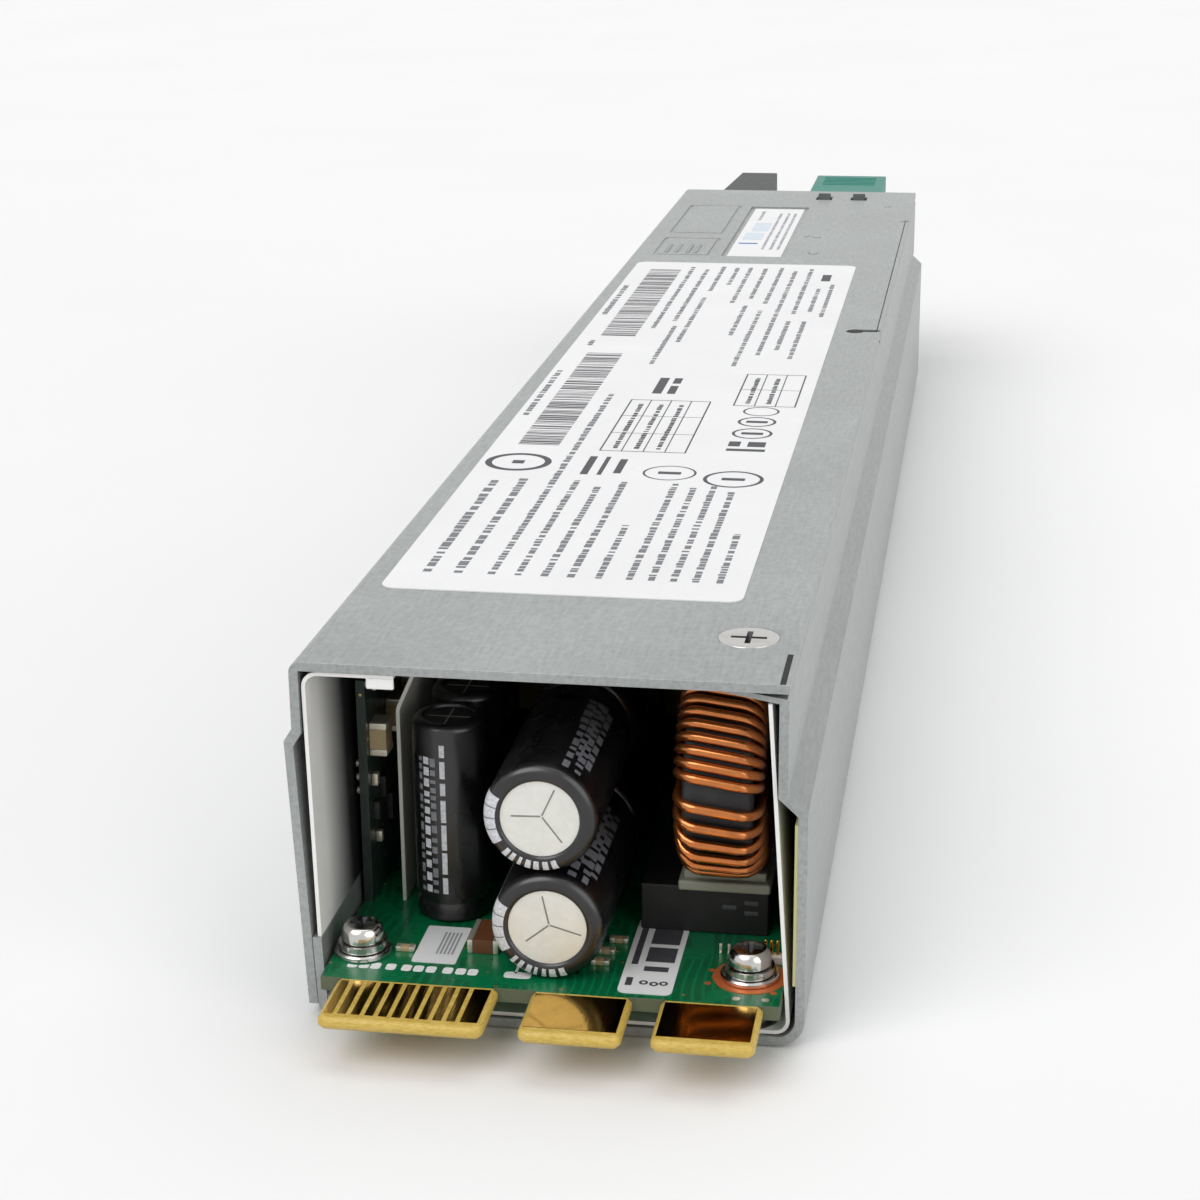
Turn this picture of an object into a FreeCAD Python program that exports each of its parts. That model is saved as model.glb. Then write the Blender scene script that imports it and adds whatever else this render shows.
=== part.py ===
import FreeCAD, Part
import math
import os

import Sketcher

# Hot swap server power supply, 1U slim format, in millimetres.
#
# Frame: +Z up, +X to the right seen from the card edge, +Y from the card edge
# towards the handle.  The origin is the middle of the housing's underside.
#
# The housing is two bent steel sheets with a keyed step along each side.  It holds
# an insulating liner, the circuit board whose front edge is the plug, the power
# parts on that board, and at the handle end the fan, the mains inlet, the
# perforated face panel and the sprung release latch.

SIZES = {
    # Housing, two sheets: the base tray and the top cover.
    "housing_length": 310.0,
    "body_width": 54.5,
    "side_step": 2.05,
    "housing_height": 40.0,
    "sheet": 1.0,
    "lap_gap": 0.05,
    "left_shoulder": 31.2,
    "left_rise": 1.4,
    "right_shoulder": 26.4,
    "right_rise": 1.9,
    "floor_bend": 3.0,
    "roof_bend": 1.2,
    "left_lip_height": 9.0,
    "roof_lip_width": 10.0,
    "roof_lip_end": 34.0,
    "corner_slit": 9.4,
    "corner_drop": 0.5,
    "relief_place": 144.0,
    "relief_inset": 4.1,
    "relief_radius": 1.4,
    "relief_slot": 1.6,
    "seam_hole_place": 37.0,
    "seam_hole_inset": 0.7,
    "seam_hole_radius": 0.9,
    "face_step": 10.0,
    # Cover screw, countersunk into the cover and threaded into the lip below it.
    "cover_screw_inset": 5.5,
    "cover_screw_place": 13.8,
    "cover_head_radius": 3.3,
    "cover_head_depth": 0.9,
    "cover_shank_radius": 1.5,
    "cover_screw_length": 2.6,
    "screw_gap": 0.1,
    # Labels and the shallow pressed outlines beside them.
    "label_sheet": 0.12,
    "label_left_inset": 0.4,
    "label_right_inset": 8.1,
    "label_start": 26.5,
    "label_end_inset": 87.5,
    "label_corner": 2.5,
    "small_label_left": 7.4,
    "small_label_right": 2.9,
    "small_label_place": 78.5,
    "small_label_length": 56.0,
    "recess_margin": 0.9,
    "recess_depth": 0.45,
    "outline_inset": 3.8,
    "outline_width": 11.0,
    "outline_groove": 0.7,
    "outline_depth": 0.25,
    "small_outline_place": 79.0,
    "small_outline_length": 18.5,
    "large_outline_place": 55.0,
    "large_outline_length": 34.0,
    # Insulating liner, one folded plastic sheet.
    "liner_sheet": 0.4,
    "liner_gap": 0.1,
    "liner_end_gap": 5.6,
    "liner_setback": 0.4,
    "liner_flap": 10.0,
    "liner_fold": 1.6,
    "liner_slope": 0.0668,
    "liner_tongue_width": 5.2,
    "liner_tongue_drop": 1.7,
    "side_tape_sheet": 0.3,
    "side_tape_low": 7.0,
    "side_tape_high": 25.0,
    # Circuit board and its card edge.
    "board_top": 6.0,
    "board_sheet": 1.6,
    "board_left_gap": 2.75,
    "board_right_gap": 2.35,
    "board_nose": 2.8,
    "board_end_gap": 2.0,
    "tab_reach": 11.5,
    "tab_corner": 0.9,
    "tip_bevel": 0.5,
    "tab_left_margin": 2.9,
    "signal_tab_width": 17.2,
    "signal_tab_gap": 3.6,
    "power_tab_width": 10.5,
    "power_tab_gap": 3.0,
    "tab_right_margin": 1.7,
    "plating": 0.05,
    "finger_count": 10,
    "finger_pitch": 1.42,
    "finger_width": 0.92,
    "finger_start": 0.6,
    "wide_finger_width": 1.8,
    "finger_root": 3.4,
    "finger_tip_gap": 0.9,
    "pad_margin": 0.5,
    # Board screws with their washers, standoffs and earth ring.
    "board_screw_left_inset": 4.1,
    "board_screw_right_inset": 3.7,
    "board_screw_place": 3.4,
    "rear_screw_inset": 8.6,
    "board_hole_radius": 1.7,
    "standoff_radius": 2.4,
    "board_shank_radius": 1.5,
    "flat_washer_radius": 3.1,
    "flat_washer_sheet": 0.6,
    "lock_washer_radius": 2.6,
    "lock_washer_sheet": 0.9,
    "board_head_radius": 2.5,
    "board_head_height": 2.2,
    "earth_ring_radius": 3.9,
    "earth_ring_sheet": 0.1,
    # Output capacitors lying along the board, two rows of two.
    "cap_radius": 6.0,
    "cap_sleeve": 0.2,
    "cap_length": 25.0,
    "cap_front": 0.5,
    "cap_centre": 0.4,
    "cap_stack_gap": 0.2,
    "cap_row_gap": 2.0,
    "cap_face_radius": 4.35,
    # Capacitors standing beside them.
    "post_cap_radius": 4.1,
    "post_cap_roof_gap": 8.0,
    "post_cap_centre": 13.0,
    "post_cap_place": 15.3,
    "post_cap_pitch": 9.6,
    "post_cap_face_radius": 3.2,
    # Output choke: wound ring on a base above the driver module.
    "ring_centre": 17.5,
    "ring_place": 15.0,
    "ring_roof_gap": 0.85,
    "core_hole_radius": 4.8,
    "core_width": 7.4,
    "coil_build": 1.4,
    "coil_gap_angle": 14.0,
    "ring_base_sheet": 1.3,
    "ring_base_top": 12.8,
    "ring_base_front": 8.3,
    "ring_base_depth": 14.4,
    "ring_base_left": 6.2,
    "ring_base_right": 5.0,
    "module_left": 3.5,
    "module_inset": 0.3,
    "sense_pin_count": 4,
    "sense_pin_pitch": 0.65,
    "sense_pin_side": 0.32,
    "sense_pin_height": 2.6,
    "sense_pin_place": 7.0,
    # Control card standing at the left, its parts and its header.
    "card_inset": 1.1,
    "card_sheet": 1.0,
    "card_front": 15.5,
    "card_length": 60.0,
    "card_roof_gap": 6.6,
    "chip_width": 2.0,
    "chip_height": 3.9,
    "chip_depth": 3.0,
    "chip_pitch": 7.5,
    "chip_count": 7,
    "chip_drop": 5.3,
    "header_height": 2.4,
    "header_reach": 1.9,
    "header_length": 8.0,
    # Insulating sheet standing between the card and the capacitors.
    "screen_left": 19.2,
    "screen_sheet": 0.4,
    "screen_front": 16.4,
    "screen_length": 78.0,
    "screen_bend_gap": 10.0,
    "screen_roof_gap": 2.0,
    "screen_lean": 3.6,
    "screen_fold": 1.5,
    # Small parts in front of the capacitors.
    "brown_chip_left": 9.3,
    "brown_chip_width": 3.4,
    "brown_chip_place": 4.6,
    "brown_chip_depth": 5.2,
    "brown_chip_height": 1.6,
    "sticker_sheet": 0.1,
    "small_sticker_left": 14.8,
    "small_sticker_width": 4.8,
    "small_sticker_place": 1.8,
    "small_sticker_length": 8.6,
    "large_sticker_left": 7.9,
    "large_sticker_width": 5.7,
    "large_sticker_place": -2.0,
    "large_sticker_length": 14.0,
    # Output rectifier heat sink.
    "sink_wall_left": 14.4,
    "sink_wall": 2.0,
    "sink_reach": 6.0,
    "sink_roof_gap": 3.0,
    "fin_count": 6,
    "fin_sheet": 1.2,
    "output_sink_place": 32.0,
    "output_sink_length": 62.0,
    "mains_sink_length": 66.0,
    "transistor_width": 10.0,
    "transistor_height": 15.0,
    "transistor_sheet": 4.5,
    "transistor_tab": 1.3,
    "transistor_pitch": 14.0,
    "transistor_gap": 0.1,
    "transistor_foot": 4.0,
    # Main transformer: two ferrite halves around a taped coil.
    "transformer_left": 15.0,
    "transformer_width": 24.0,
    "transformer_place": 58.0,
    "transformer_length": 34.0,
    "transformer_roof_gap": 5.0,
    "ferrite_leg": 5.0,
    "ferrite_back": 5.0,
    "coil_clearance": 0.4,
    # Mains bay, whose pieces share the length that the fan leaves them.
    "mains_start": 99.0,
    "bay_gap": 1.4,
    "fuse_space": 16.4,
    # Mains store capacitor.
    "store_radius": 15.0,
    "store_roof_gap": 3.0,
    "store_length": 46.0,
    "store_centre": 7.0,
    "store_sleeve": 0.3,
    "store_face_inset": 3.0,
    # Boost choke, a second wound ring, and the line filter choke.
    "mains_ring_centre": 8.0,
    "mains_ring_width": 9.0,
    "mains_ring_radius": 13.4,
    "mains_ring_hole": 6.5,
    # Line filter blocks, relay, bridge and fuse.
    "block_count": 2,
    "block_width": 26.0,
    "block_depth": 10.0,
    "block_height": 19.0,
    "block_centre": 8.0,
    "relay_place": 73.0,
    "relay_left": 12.0,
    "relay_width": 10.5,
    "relay_length": 19.0,
    "relay_height": 15.5,
    "bridge_place": 97.0,
    "bridge_left": 14.6,
    "bridge_sheet": 4.0,
    "bridge_length": 20.0,
    "bridge_height": 17.0,
    "fuse_inset": 9.4,
    "fuse_left": 14.0,
    "fuse_radius": 2.6,
    "fuse_length": 18.0,
    # Fan.
    "fan_side": 37.4,
    "fan_depth": 28.0,
    "fan_back": 38.0,
    "fan_inset": 1.2,
    "fan_lift": 0.1,
    "fan_roof_gap": 0.5,
    "fan_rim": 1.1,
    "fan_corner": 2.5,
    "fan_hole_radius": 1.7,
    "fan_hole_inset": 2.9,
    "fan_hub_radius": 9.5,
    "fan_hub_depth": 15.0,
    "fan_tip_gap": 0.5,
    "fan_wall": 1.2,
    "blade_count": 7,
    "blade_depth": 12.0,
    "blade_sheet": 0.9,
    "blade_root_angle": 38.0,
    "blade_tip_angle": 58.0,
    "motor_plate_depth": 3.0,
    "motor_post_radius": 4.0,
    "strut_width": 3.0,
    "shaft_radius": 1.0,
    "shaft_gap": 0.03,
    "rotor_gap": 0.5,
    # Mains inlet.
    "inlet_inset": 16.0,
    "inlet_bracket_gap": 2.6,
    "inlet_rim_width": 28.8,
    "inlet_rim_height": 23.6,
    "inlet_rim": 2.0,
    "inlet_body_width": 26.8,
    "inlet_body_height": 19.8,
    "inlet_depth": 26.0,
    "socket_width": 24.4,
    "socket_height": 16.4,
    "socket_depth": 17.0,
    "socket_chamfer": 4.0,
    "inlet_corner": 2.0,
    "inlet_pin_spacing": 7.0,
    "inlet_pin_drop": 2.0,
    "inlet_pin_offset": 4.0,
    "inlet_pin_width": 2.0,
    "inlet_pin_height": 4.0,
    "inlet_pin_recess": 1.5,
    "inlet_pin_back": 30.0,
    "pin_slot_gap": 0.02,
    "wire_radius": 1.1,
    "wire_turn": 34.5,
    "wire_lane_inset": 4.8,
    "wire_dip": 3.2,
    "line_wire_inset": 1.7,
    "neutral_wire_inset": 4.0,
    "earth_wire_inset": 22.0,
    # Face panel.
    "panel_gap": 0.1,
    "panel_flange": 10.8,
    "cell_flat": 1.75,
    "cell_pitch": 4.3,
    "cell_columns": 4,
    "cell_rows": 3,
    "cell_inset": 3.8,
    "cell_low": 13.6,
    "cutout_gap": 0.15,
    "lamp_inset": 3.8,
    "lamp_drop": 4.8,
    "lamp_radius": 1.5,
    "lamp_length": 6.0,
    "lamp_proud": 0.4,
    # Handle.
    "handle_inset": 7.7,
    "handle_inlet_gap": 0.4,
    "handle_left_taper": 2.1,
    "handle_right_taper": 2.7,
    "handle_low": 2.4,
    "handle_drop": 0.6,
    "handle_reach": 36.0,
    "handle_arm": 7.6,
    "handle_grip": 8.0,
    "handle_round": 7.0,
    "finger_round": 4.5,
    "handle_screw_radius": 1.5,
    "handle_screw_head": 2.7,
    "handle_screw_length": 7.0,
    # Release latch with its bracket, pivot pin and spring.
    "latch_inset": 7.7,
    "latch_width": 15.5,
    "latch_drop": 2.4,
    "latch_sheet": 2.6,
    "latch_tail_drop": 0.3,
    "latch_tail_sheet": 3.2,
    "latch_reach": 25.0,
    "latch_lip": 2.6,
    "latch_lip_drop": 6.0,
    "latch_step_gap": 0.7,
    "pivot_place": 26.0,
    "pivot_drop": 6.5,
    "pivot_boss": 3.2,
    "pivot_pin_radius": 1.5,
    "pivot_gap": 0.05,
    "tooth_place": 8.2,
    "tooth_length": 3.0,
    "tooth_crest": 1.0,
    "tooth_width": 2.6,
    "tooth_proud": 0.9,
    "tooth_spacing": 3.7,
    "window_gap": 0.4,
    "window_swing": 1.0,
    "bracket_sheet": 0.8,
    "bracket_gap": 0.3,
    "bracket_drop": 11.0,
    "bracket_front": 30.0,
    "bracket_back": 6.0,
    "bracket_ear": 8.0,
    "spring_place": 16.0,
    "spring_radius": 2.0,
    "spring_wire": 0.25,
    "spring_pitch": 1.5,
    "spring_gap": 0.05,
    "notch_gap": 0.8,
    "notch_drop": 7.8,
}

DOC = FreeCAD.newDocument("power_supply")
SHEET = DOC.addObject("Spreadsheet::Sheet", "dims")
PARTS = []


class Size:
    """A length held both as a spreadsheet formula and as its present value."""

    def __init__(self, text, value):
        self.text = text
        self.value = float(value)

    @staticmethod
    def of(thing):
        return thing if isinstance(thing, Size) else Size(repr(thing), thing)

    def join(self, sign, other, value):
        return Size(f"({self.text} {sign} {other.text})", value)

    def __add__(self, other):
        other = Size.of(other)
        return self.join("+", other, self.value + other.value)

    def __radd__(self, other):
        return Size.of(other) + self

    def __sub__(self, other):
        other = Size.of(other)
        return self.join("-", other, self.value - other.value)

    def __rsub__(self, other):
        return Size.of(other) - self

    def __mul__(self, other):
        other = Size.of(other)
        return self.join("*", other, self.value * other.value)

    def __truediv__(self, other):
        other = Size.of(other)
        return self.join("/", other, self.value / other.value)

    def __neg__(self):
        return Size(f"(-{self.text})", -self.value)

    @staticmethod
    def least(one, other):
        return Size(f"min({one.text}; {other.text})", min(one.value, other.value))


class Sizes:
    """Every alias of the spreadsheet as a Size attribute."""

    def __init__(self, sheet, table):
        for row, (alias, number) in enumerate(table.items(), start=1):
            sheet.set(f"A{row}", alias)
            sheet.set(f"B{row}", str(number))
            sheet.setAlias(f"B{row}", alias)
            setattr(self, alias, Size(f"{sheet.Name}.{alias}", number))


D = Sizes(SHEET, SIZES)
DOC.recompute()

ZERO = Size("0", 0)
NEAR = -(D.housing_length / 2)
FAR = D.housing_length / 2
HALF_BODY = D.body_width / 2
HALF_TOP = HALF_BODY - D.side_step
ROOF = D.housing_height
UNDER_ROOF = ROOF - D.sheet
HEADROOM = UNDER_ROOF - D.board_top

# The fan stands across the housing, and the board, liner and mains bay end short of it.
FAN_FRONT = FAR - D.fan_back - D.fan_depth
LINER_END = FAN_FRONT - D.liner_end_gap
BOARD_END = FAN_FRONT - D.board_end_gap
BOARD_LEFT = -(HALF_BODY - D.board_left_gap)
BOARD_RIGHT = HALF_BODY - D.board_right_gap

# One at the drawn width: what lies on the board keeps its share of the board's width.
WIDE = (BOARD_RIGHT - BOARD_LEFT) / (
    D.tab_left_margin + D.signal_tab_width + D.signal_tab_gap + D.power_tab_width * 2
    + D.power_tab_gap + D.tab_right_margin)

# One at the drawn length: the pieces of the mains bay keep their shares of its length.
MAINS = (BOARD_END - NEAR - D.mains_start) / (
    D.store_length + D.mains_ring_radius * 4 + D.block_depth * D.block_count + D.bay_gap * 5
    + D.fuse_space)

FAN_SIDE = Size.least(D.fan_side * WIDE, UNDER_ROOF - D.sheet - D.fan_lift - D.fan_roof_gap)
FAN_BORE = FAN_SIDE / 2 - D.fan_rim
LATCH_RIGHT = HALF_TOP - D.latch_inset
LATCH_LEFT = LATCH_RIGHT - D.latch_width
LATCH_TOP = ROOF - D.latch_drop
BRACKET_FLOOR = ROOF - D.bracket_drop
PIVOT = (FAR - D.pivot_place, ROOF - D.pivot_drop)
INLET_X = HALF_TOP - D.inlet_inset
INLET_Z = BRACKET_FLOOR - D.inlet_bracket_gap - D.inlet_body_height / 2
HANDLE_RIGHT = INLET_X - D.inlet_rim_width / 2 - D.handle_inlet_gap
HANDLE_LEFT = -(HALF_TOP - D.handle_inset * WIDE)
HANDLE_TOP = ROOF - D.handle_drop
ARC_SHARE = 0.45
WIRE_FACETS = 8
TURNS = {
    "X": FreeCAD.Rotation(FreeCAD.Vector(0, 1, 0), 90),
    "Y": FreeCAD.Rotation(FreeCAD.Vector(1, 0, 0), -90),
    "Z": FreeCAD.Rotation(),
}


# ---------------------------------------------------------------- building blocks


def bind(item, **links):
    """Bind properties to sizes; a double underscore stands for a dot."""
    for name, size in links.items():
        item.setExpression(name.replace("__", "."), Size.of(size).text)


def point(x, y, z):
    return FreeCAD.Vector(Size.of(x).value, Size.of(y).value, Size.of(z).value)


def keep(item):
    """Mark a finished sub-part; its Label names its file."""
    PARTS.append(item)
    return item


def box(name, x, y, z):
    """A block between two sizes along each axis."""
    item = DOC.addObject("Part::Box", name)
    bind(item, Length=x[1] - x[0], Width=y[1] - y[0], Height=z[1] - z[0])
    bind(item, Placement__Base__x=x[0], Placement__Base__y=y[0], Placement__Base__z=z[0])
    return item


def place(item, x, y, z, axis="Z"):
    item.Placement = FreeCAD.Placement(FreeCAD.Vector(), TURNS[axis])
    bind(item, Placement__Base__x=x, Placement__Base__y=y, Placement__Base__z=z)
    return item


def rod(name, axis, start, length, radius):
    """A round bar from its start point along +X, +Y or +Z."""
    item = DOC.addObject("Part::Cylinder", name)
    bind(item, Radius=radius, Height=length)
    return place(item, *start, axis=axis)


def cone(name, start, length, low_radius, high_radius):
    item = DOC.addObject("Part::Cone", name)
    bind(item, Radius1=low_radius, Radius2=high_radius, Height=length)
    return place(item, *start)


def join(name, items):
    item = DOC.addObject("Part::MultiFuse", name)
    item.Shapes = items
    return item


def group(name, items):
    """Separate solids kept together under one name."""
    item = DOC.addObject("Part::Compound", name)
    item.Links = items
    return item


def carve(name, base, tools):
    """A base with every tool taken away."""
    item = DOC.addObject("Part::Cut", name)
    item.Base = base
    item.Tool = tools[0] if len(tools) == 1 else join(f"{name}_tools", tools)
    return item


def rectangle(u, v):
    return [(u[0], v[0]), (u[1], v[0]), (u[1], v[1]), (u[0], v[1])]


def hexagon(u, v, flat):
    """A hexagon with its points up and down; flat is centre to flat."""
    tip = flat * (2 / math.sqrt(3))
    side = tip / 2
    return [(u, v + tip), (u - flat, v + side), (u - flat, v - side),
            (u, v - tip), (u + flat, v - side), (u + flat, v + side)]


class Disc:
    """A circle in a sketch."""

    def __init__(self, u, v, radius):
        self.u, self.v, self.radius = Size.of(u), Size.of(v), radius


class Body:
    """A PartDesign body built up from slabs between two sizes along one axis."""

    PLANES = {"X": "YZ_Plane", "Y": "XZ_Plane", "Z": "XY_Plane"}

    def __init__(self, name):
        self.name = name
        self.item = DOC.addObject("PartDesign::Body", name)
        self.count = 0

    def feature(self, kind, word):
        self.count += 1
        return self.item.newObject(kind, f"{self.name}_{word}{self.count}")

    def sketch(self, axis, at, outlines, up=ZERO):
        """Outlines on the plane across an axis; up shifts the sketch's own origin."""
        sketch = self.feature("Sketcher::SketchObject", "sketch")
        role = self.PLANES[axis]
        plane = [f for f in self.item.Origin.OriginFeatures if f.Role == role][0]
        sketch.AttachmentSupport = [(plane, "")]
        sketch.MapMode = "FlatFace"
        bind(sketch, AttachmentOffset__Base__z=-at if axis == "Y" else at)
        bind(sketch, AttachmentOffset__Base__y=up)
        for outline in outlines:
            if isinstance(outline, Disc):
                self.draw_disc(sketch, outline)
            else:
                self.draw_polygon(sketch, outline)
        return sketch

    @staticmethod
    def tie(sketch, geometry, end, u, v):
        for kind, size in (("DistanceX", u), ("DistanceY", v)):
            rule = Sketcher.Constraint(kind, -1, 1, geometry, end, size.value)
            number = sketch.addConstraint(rule)
            sketch.setExpression(f"Constraints[{number}]", size.text)

    def draw_polygon(self, sketch, corners):
        corners = [(Size.of(u), Size.of(v)) for u, v in corners]
        spots = [FreeCAD.Vector(u.value, v.value, 0) for u, v in corners]
        lines = [sketch.addGeometry(Part.LineSegment(a, b), False)
                 for a, b in zip(spots, spots[1:] + spots[:1])]
        for line, after in zip(lines, lines[1:] + lines[:1]):
            sketch.addConstraint(Sketcher.Constraint("Coincident", line, 2, after, 1))
        for line, (u, v) in zip(lines, corners):
            self.tie(sketch, line, 1, u, v)

    def draw_disc(self, sketch, disc):
        centre = FreeCAD.Vector(disc.u.value, disc.v.value, 0)
        circle = Part.Circle(centre, FreeCAD.Vector(0, 0, 1), disc.radius.value)
        number = sketch.addGeometry(circle, False)
        self.tie(sketch, number, 3, disc.u, disc.v)
        rule = sketch.addConstraint(Sketcher.Constraint("Radius", number, disc.radius.value))
        sketch.setExpression(f"Constraints[{rule}]", disc.radius.text)

    def add(self, axis, low, high, *outlines):
        """Material between two sizes along an axis."""
        pad = self.feature("PartDesign::Pad", "pad")
        pad.Profile = self.sketch(axis, low, outlines)
        pad.Reversed = axis == "Y"
        bind(pad, Length=high - low)
        DOC.recompute()
        return pad

    def cut(self, axis, low, high, *outlines):
        """Take away what lies between two sizes along an axis."""
        before = self.item.Shape.Volume
        pocket = self.feature("PartDesign::Pocket", "pocket")
        pocket.Profile = self.sketch(axis, low, outlines)
        pocket.Reversed = axis != "Y"
        bind(pocket, Length=high - low)
        DOC.recompute()
        if self.item.Shape.Volume > before - 1e-6:
            raise ValueError(f"{pocket.Name} removes nothing")
        return pocket

    def spin(self, axis, up, at, angle, *outlines):
        """Outlines on the plane across Y turned about a line along X, half each way."""
        turn = self.feature("PartDesign::Revolution", "turn")
        sketch = self.sketch(axis, at, outlines, up)
        turn.Profile = sketch
        turn.ReferenceAxis = (sketch, ["H_Axis"])
        turn.Midplane = True
        bind(turn, Angle=angle)
        DOC.recompute()
        return turn

    def repeat(self, feature, across, along):
        """Repeat a feature along its sketch's two axes; each is a count and a pitch."""
        pattern = self.feature("PartDesign::LinearPattern", "pattern")
        pattern.Originals = [feature]
        sketch = feature.Profile[0]
        pattern.Direction = (sketch, ["H_Axis"])
        pattern.Direction2 = (sketch, ["V_Axis"])
        bind(pattern, Occurrences=across[0], Length=across[1] * (across[0] - 1))
        bind(pattern, Occurrences2=along[0], Length2=along[1] * (along[0] - 1))
        self.item.Tip = pattern
        DOC.recompute()
        return pattern

    def edges(self, spots):
        """Names of the edges that pass through the given points."""
        names = []
        for spot in spots:
            vertex = Part.Vertex(spot)
            names += [f"Edge{number}" for number, edge in enumerate(self.item.Shape.Edges, start=1)
                      if edge.distToShape(vertex)[0] < 1e-5]
        if len(names) < len(spots):
            raise ValueError(f"{self.name} lacks an edge to dress")
        return names

    def dress(self, kind, property_name, size, spots):
        base = (self.item.Tip, self.edges(spots))
        item = self.feature(f"PartDesign::{kind}", kind.lower())
        item.Base = base
        bind(item, **{property_name: size})
        self.item.Tip = item
        DOC.recompute()

    def round_edges(self, radius, spots):
        self.dress("Fillet", "Radius", radius, spots)

    def bevel_edges(self, size, spots):
        self.dress("Chamfer", "Size", size, spots)


def facet_ring(centre, along, radius):
    """A many-sided outline round a centre, square to the direction along."""
    turn = FreeCAD.Rotation(FreeCAD.Vector(0, 0, 1), along)
    angles = [math.tau * step / WIRE_FACETS for step in range(WIRE_FACETS)]
    corners = [centre + turn.multVec(FreeCAD.Vector(radius * math.cos(angle), radius * math.sin(angle), 0))
               for angle in angles]
    return Part.makePolygon(corners + corners[:1])


def rounded_path(corners, radius=None):
    """A path of straight runs joined by tangent arcs.

    With no radius given, each arc is as large as its two runs allow.
    """
    edges = []
    start = corners[0]
    largest = radius is None
    for before, corner, after in zip(corners, corners[1:], corners[2:]):
        inward = (before - corner).normalize()
        outward = (after - corner).normalize()
        half = inward.getAngle(outward) / 2
        if largest:
            radius = ARC_SHARE * min((before - corner).Length, (after - corner).Length) * math.tan(half)
        reach = radius / math.tan(half)
        first = corner + inward * reach
        last = corner + outward * reach
        bisector = (inward + outward).normalize()
        middle = corner + bisector * (radius / math.sin(half) - radius)
        edges.append(Part.LineSegment(start, first).toShape())
        edges.append(Part.Arc(first, middle, last).toShape())
        start = last
    edges.append(Part.LineSegment(start, corners[-1]).toShape())
    return Part.Wire(edges)


def folded_sheet(name, corners, fold, sheet, start, length):
    """A thin sheet folded through (x, z) corners and running along +Y.

    The sheet lies on the inner side of the path, to the left of its direction.
    """
    path = rounded_path([point(x, start, z) for x, z in corners], fold.value)
    profile = path.makeOffset2D(sheet.value, 0, True, True, False)
    item = DOC.addObject("Part::Feature", name)
    item.Shape = profile.extrude(FreeCAD.Vector(0, length.value, 0))
    item.Placement = FreeCAD.Placement()
    return item


# ------------------------------------------------------------------------ housing


def base_tray():
    """Floor, right wall with its roof lip, and the low lip inside the left wall."""
    tray = Body("base_tray")
    lip_outer = -(HALF_BODY - D.sheet - D.lap_gap)
    lip_inner = lip_outer + D.sheet
    lip_top = UNDER_ROOF - D.lap_gap
    wall_top = D.right_shoulder + D.right_rise
    jog = D.sheet / 2
    tray.add("Y", NEAR, FAR, [
        (lip_outer, 0),
        (HALF_BODY, 0),
        (HALF_BODY, D.right_shoulder),
        (HALF_TOP, wall_top),
        (HALF_TOP, lip_top),
        (HALF_TOP - D.roof_lip_width, lip_top),
        (HALF_TOP - D.roof_lip_width, lip_top - D.sheet),
        (HALF_TOP - D.sheet, lip_top - D.sheet),
        (HALF_TOP - D.sheet, wall_top - jog),
        (HALF_BODY - D.sheet, D.right_shoulder - jog),
        (HALF_BODY - D.sheet, D.sheet),
        (lip_inner, D.sheet),
        (lip_inner, D.left_lip_height),
        (lip_outer, D.left_lip_height),
    ])
    tray.round_edges(D.floor_bend, [point(HALF_BODY, 0, 0)])
    tray.round_edges(D.floor_bend - D.sheet, [point(HALF_BODY - D.sheet, 0, D.sheet)])
    tray.round_edges(D.roof_bend, [point(HALF_TOP, 0, lip_top), point(lip_outer, 0, 0)])
    tray.cut("Y", NEAR, NEAR + D.corner_slit,
             rectangle((HALF_TOP - D.roof_lip_width - D.sheet, HALF_TOP + D.sheet),
                       (lip_top - D.corner_drop, ROOF)))
    slot = (FAR - D.relief_place, FAR - D.relief_place + D.relief_slot)
    tray.cut("Z", lip_top - D.sheet, ROOF,
             rectangle((HALF_TOP - D.roof_lip_width - D.sheet, HALF_TOP + D.sheet), slot))
    tray.cut("Y", FAR - D.roof_lip_end, FAR,
             rectangle((HALF_TOP - D.roof_lip_width - D.sheet, HALF_TOP - D.sheet),
                       (lip_top - D.sheet * 2, ROOF)))
    tray.cut("Y", FAR - D.face_step, FAR,
             rectangle((HALF_TOP, HALF_BODY + D.sheet), (-D.sheet, wall_top)),
             rectangle((-(HALF_BODY + D.sheet), -HALF_TOP), (-D.sheet, wall_top)))
    tray.cut("Z", lip_top - D.sheet * 2, ROOF,
             Disc(HALF_TOP - D.cover_screw_inset, NEAR + D.cover_screw_place,
                  D.cover_shank_radius + D.lap_gap))
    return keep(tray.item)


def latch_middle():
    return (LATCH_LEFT + LATCH_RIGHT) / 2


def tooth_spans():
    """The two spans along X that the latch's teeth take."""
    half = D.tooth_width / 2
    return [(latch_middle() + side - half, latch_middle() + side + half)
            for side in (-D.tooth_spacing, D.tooth_spacing)]


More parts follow.
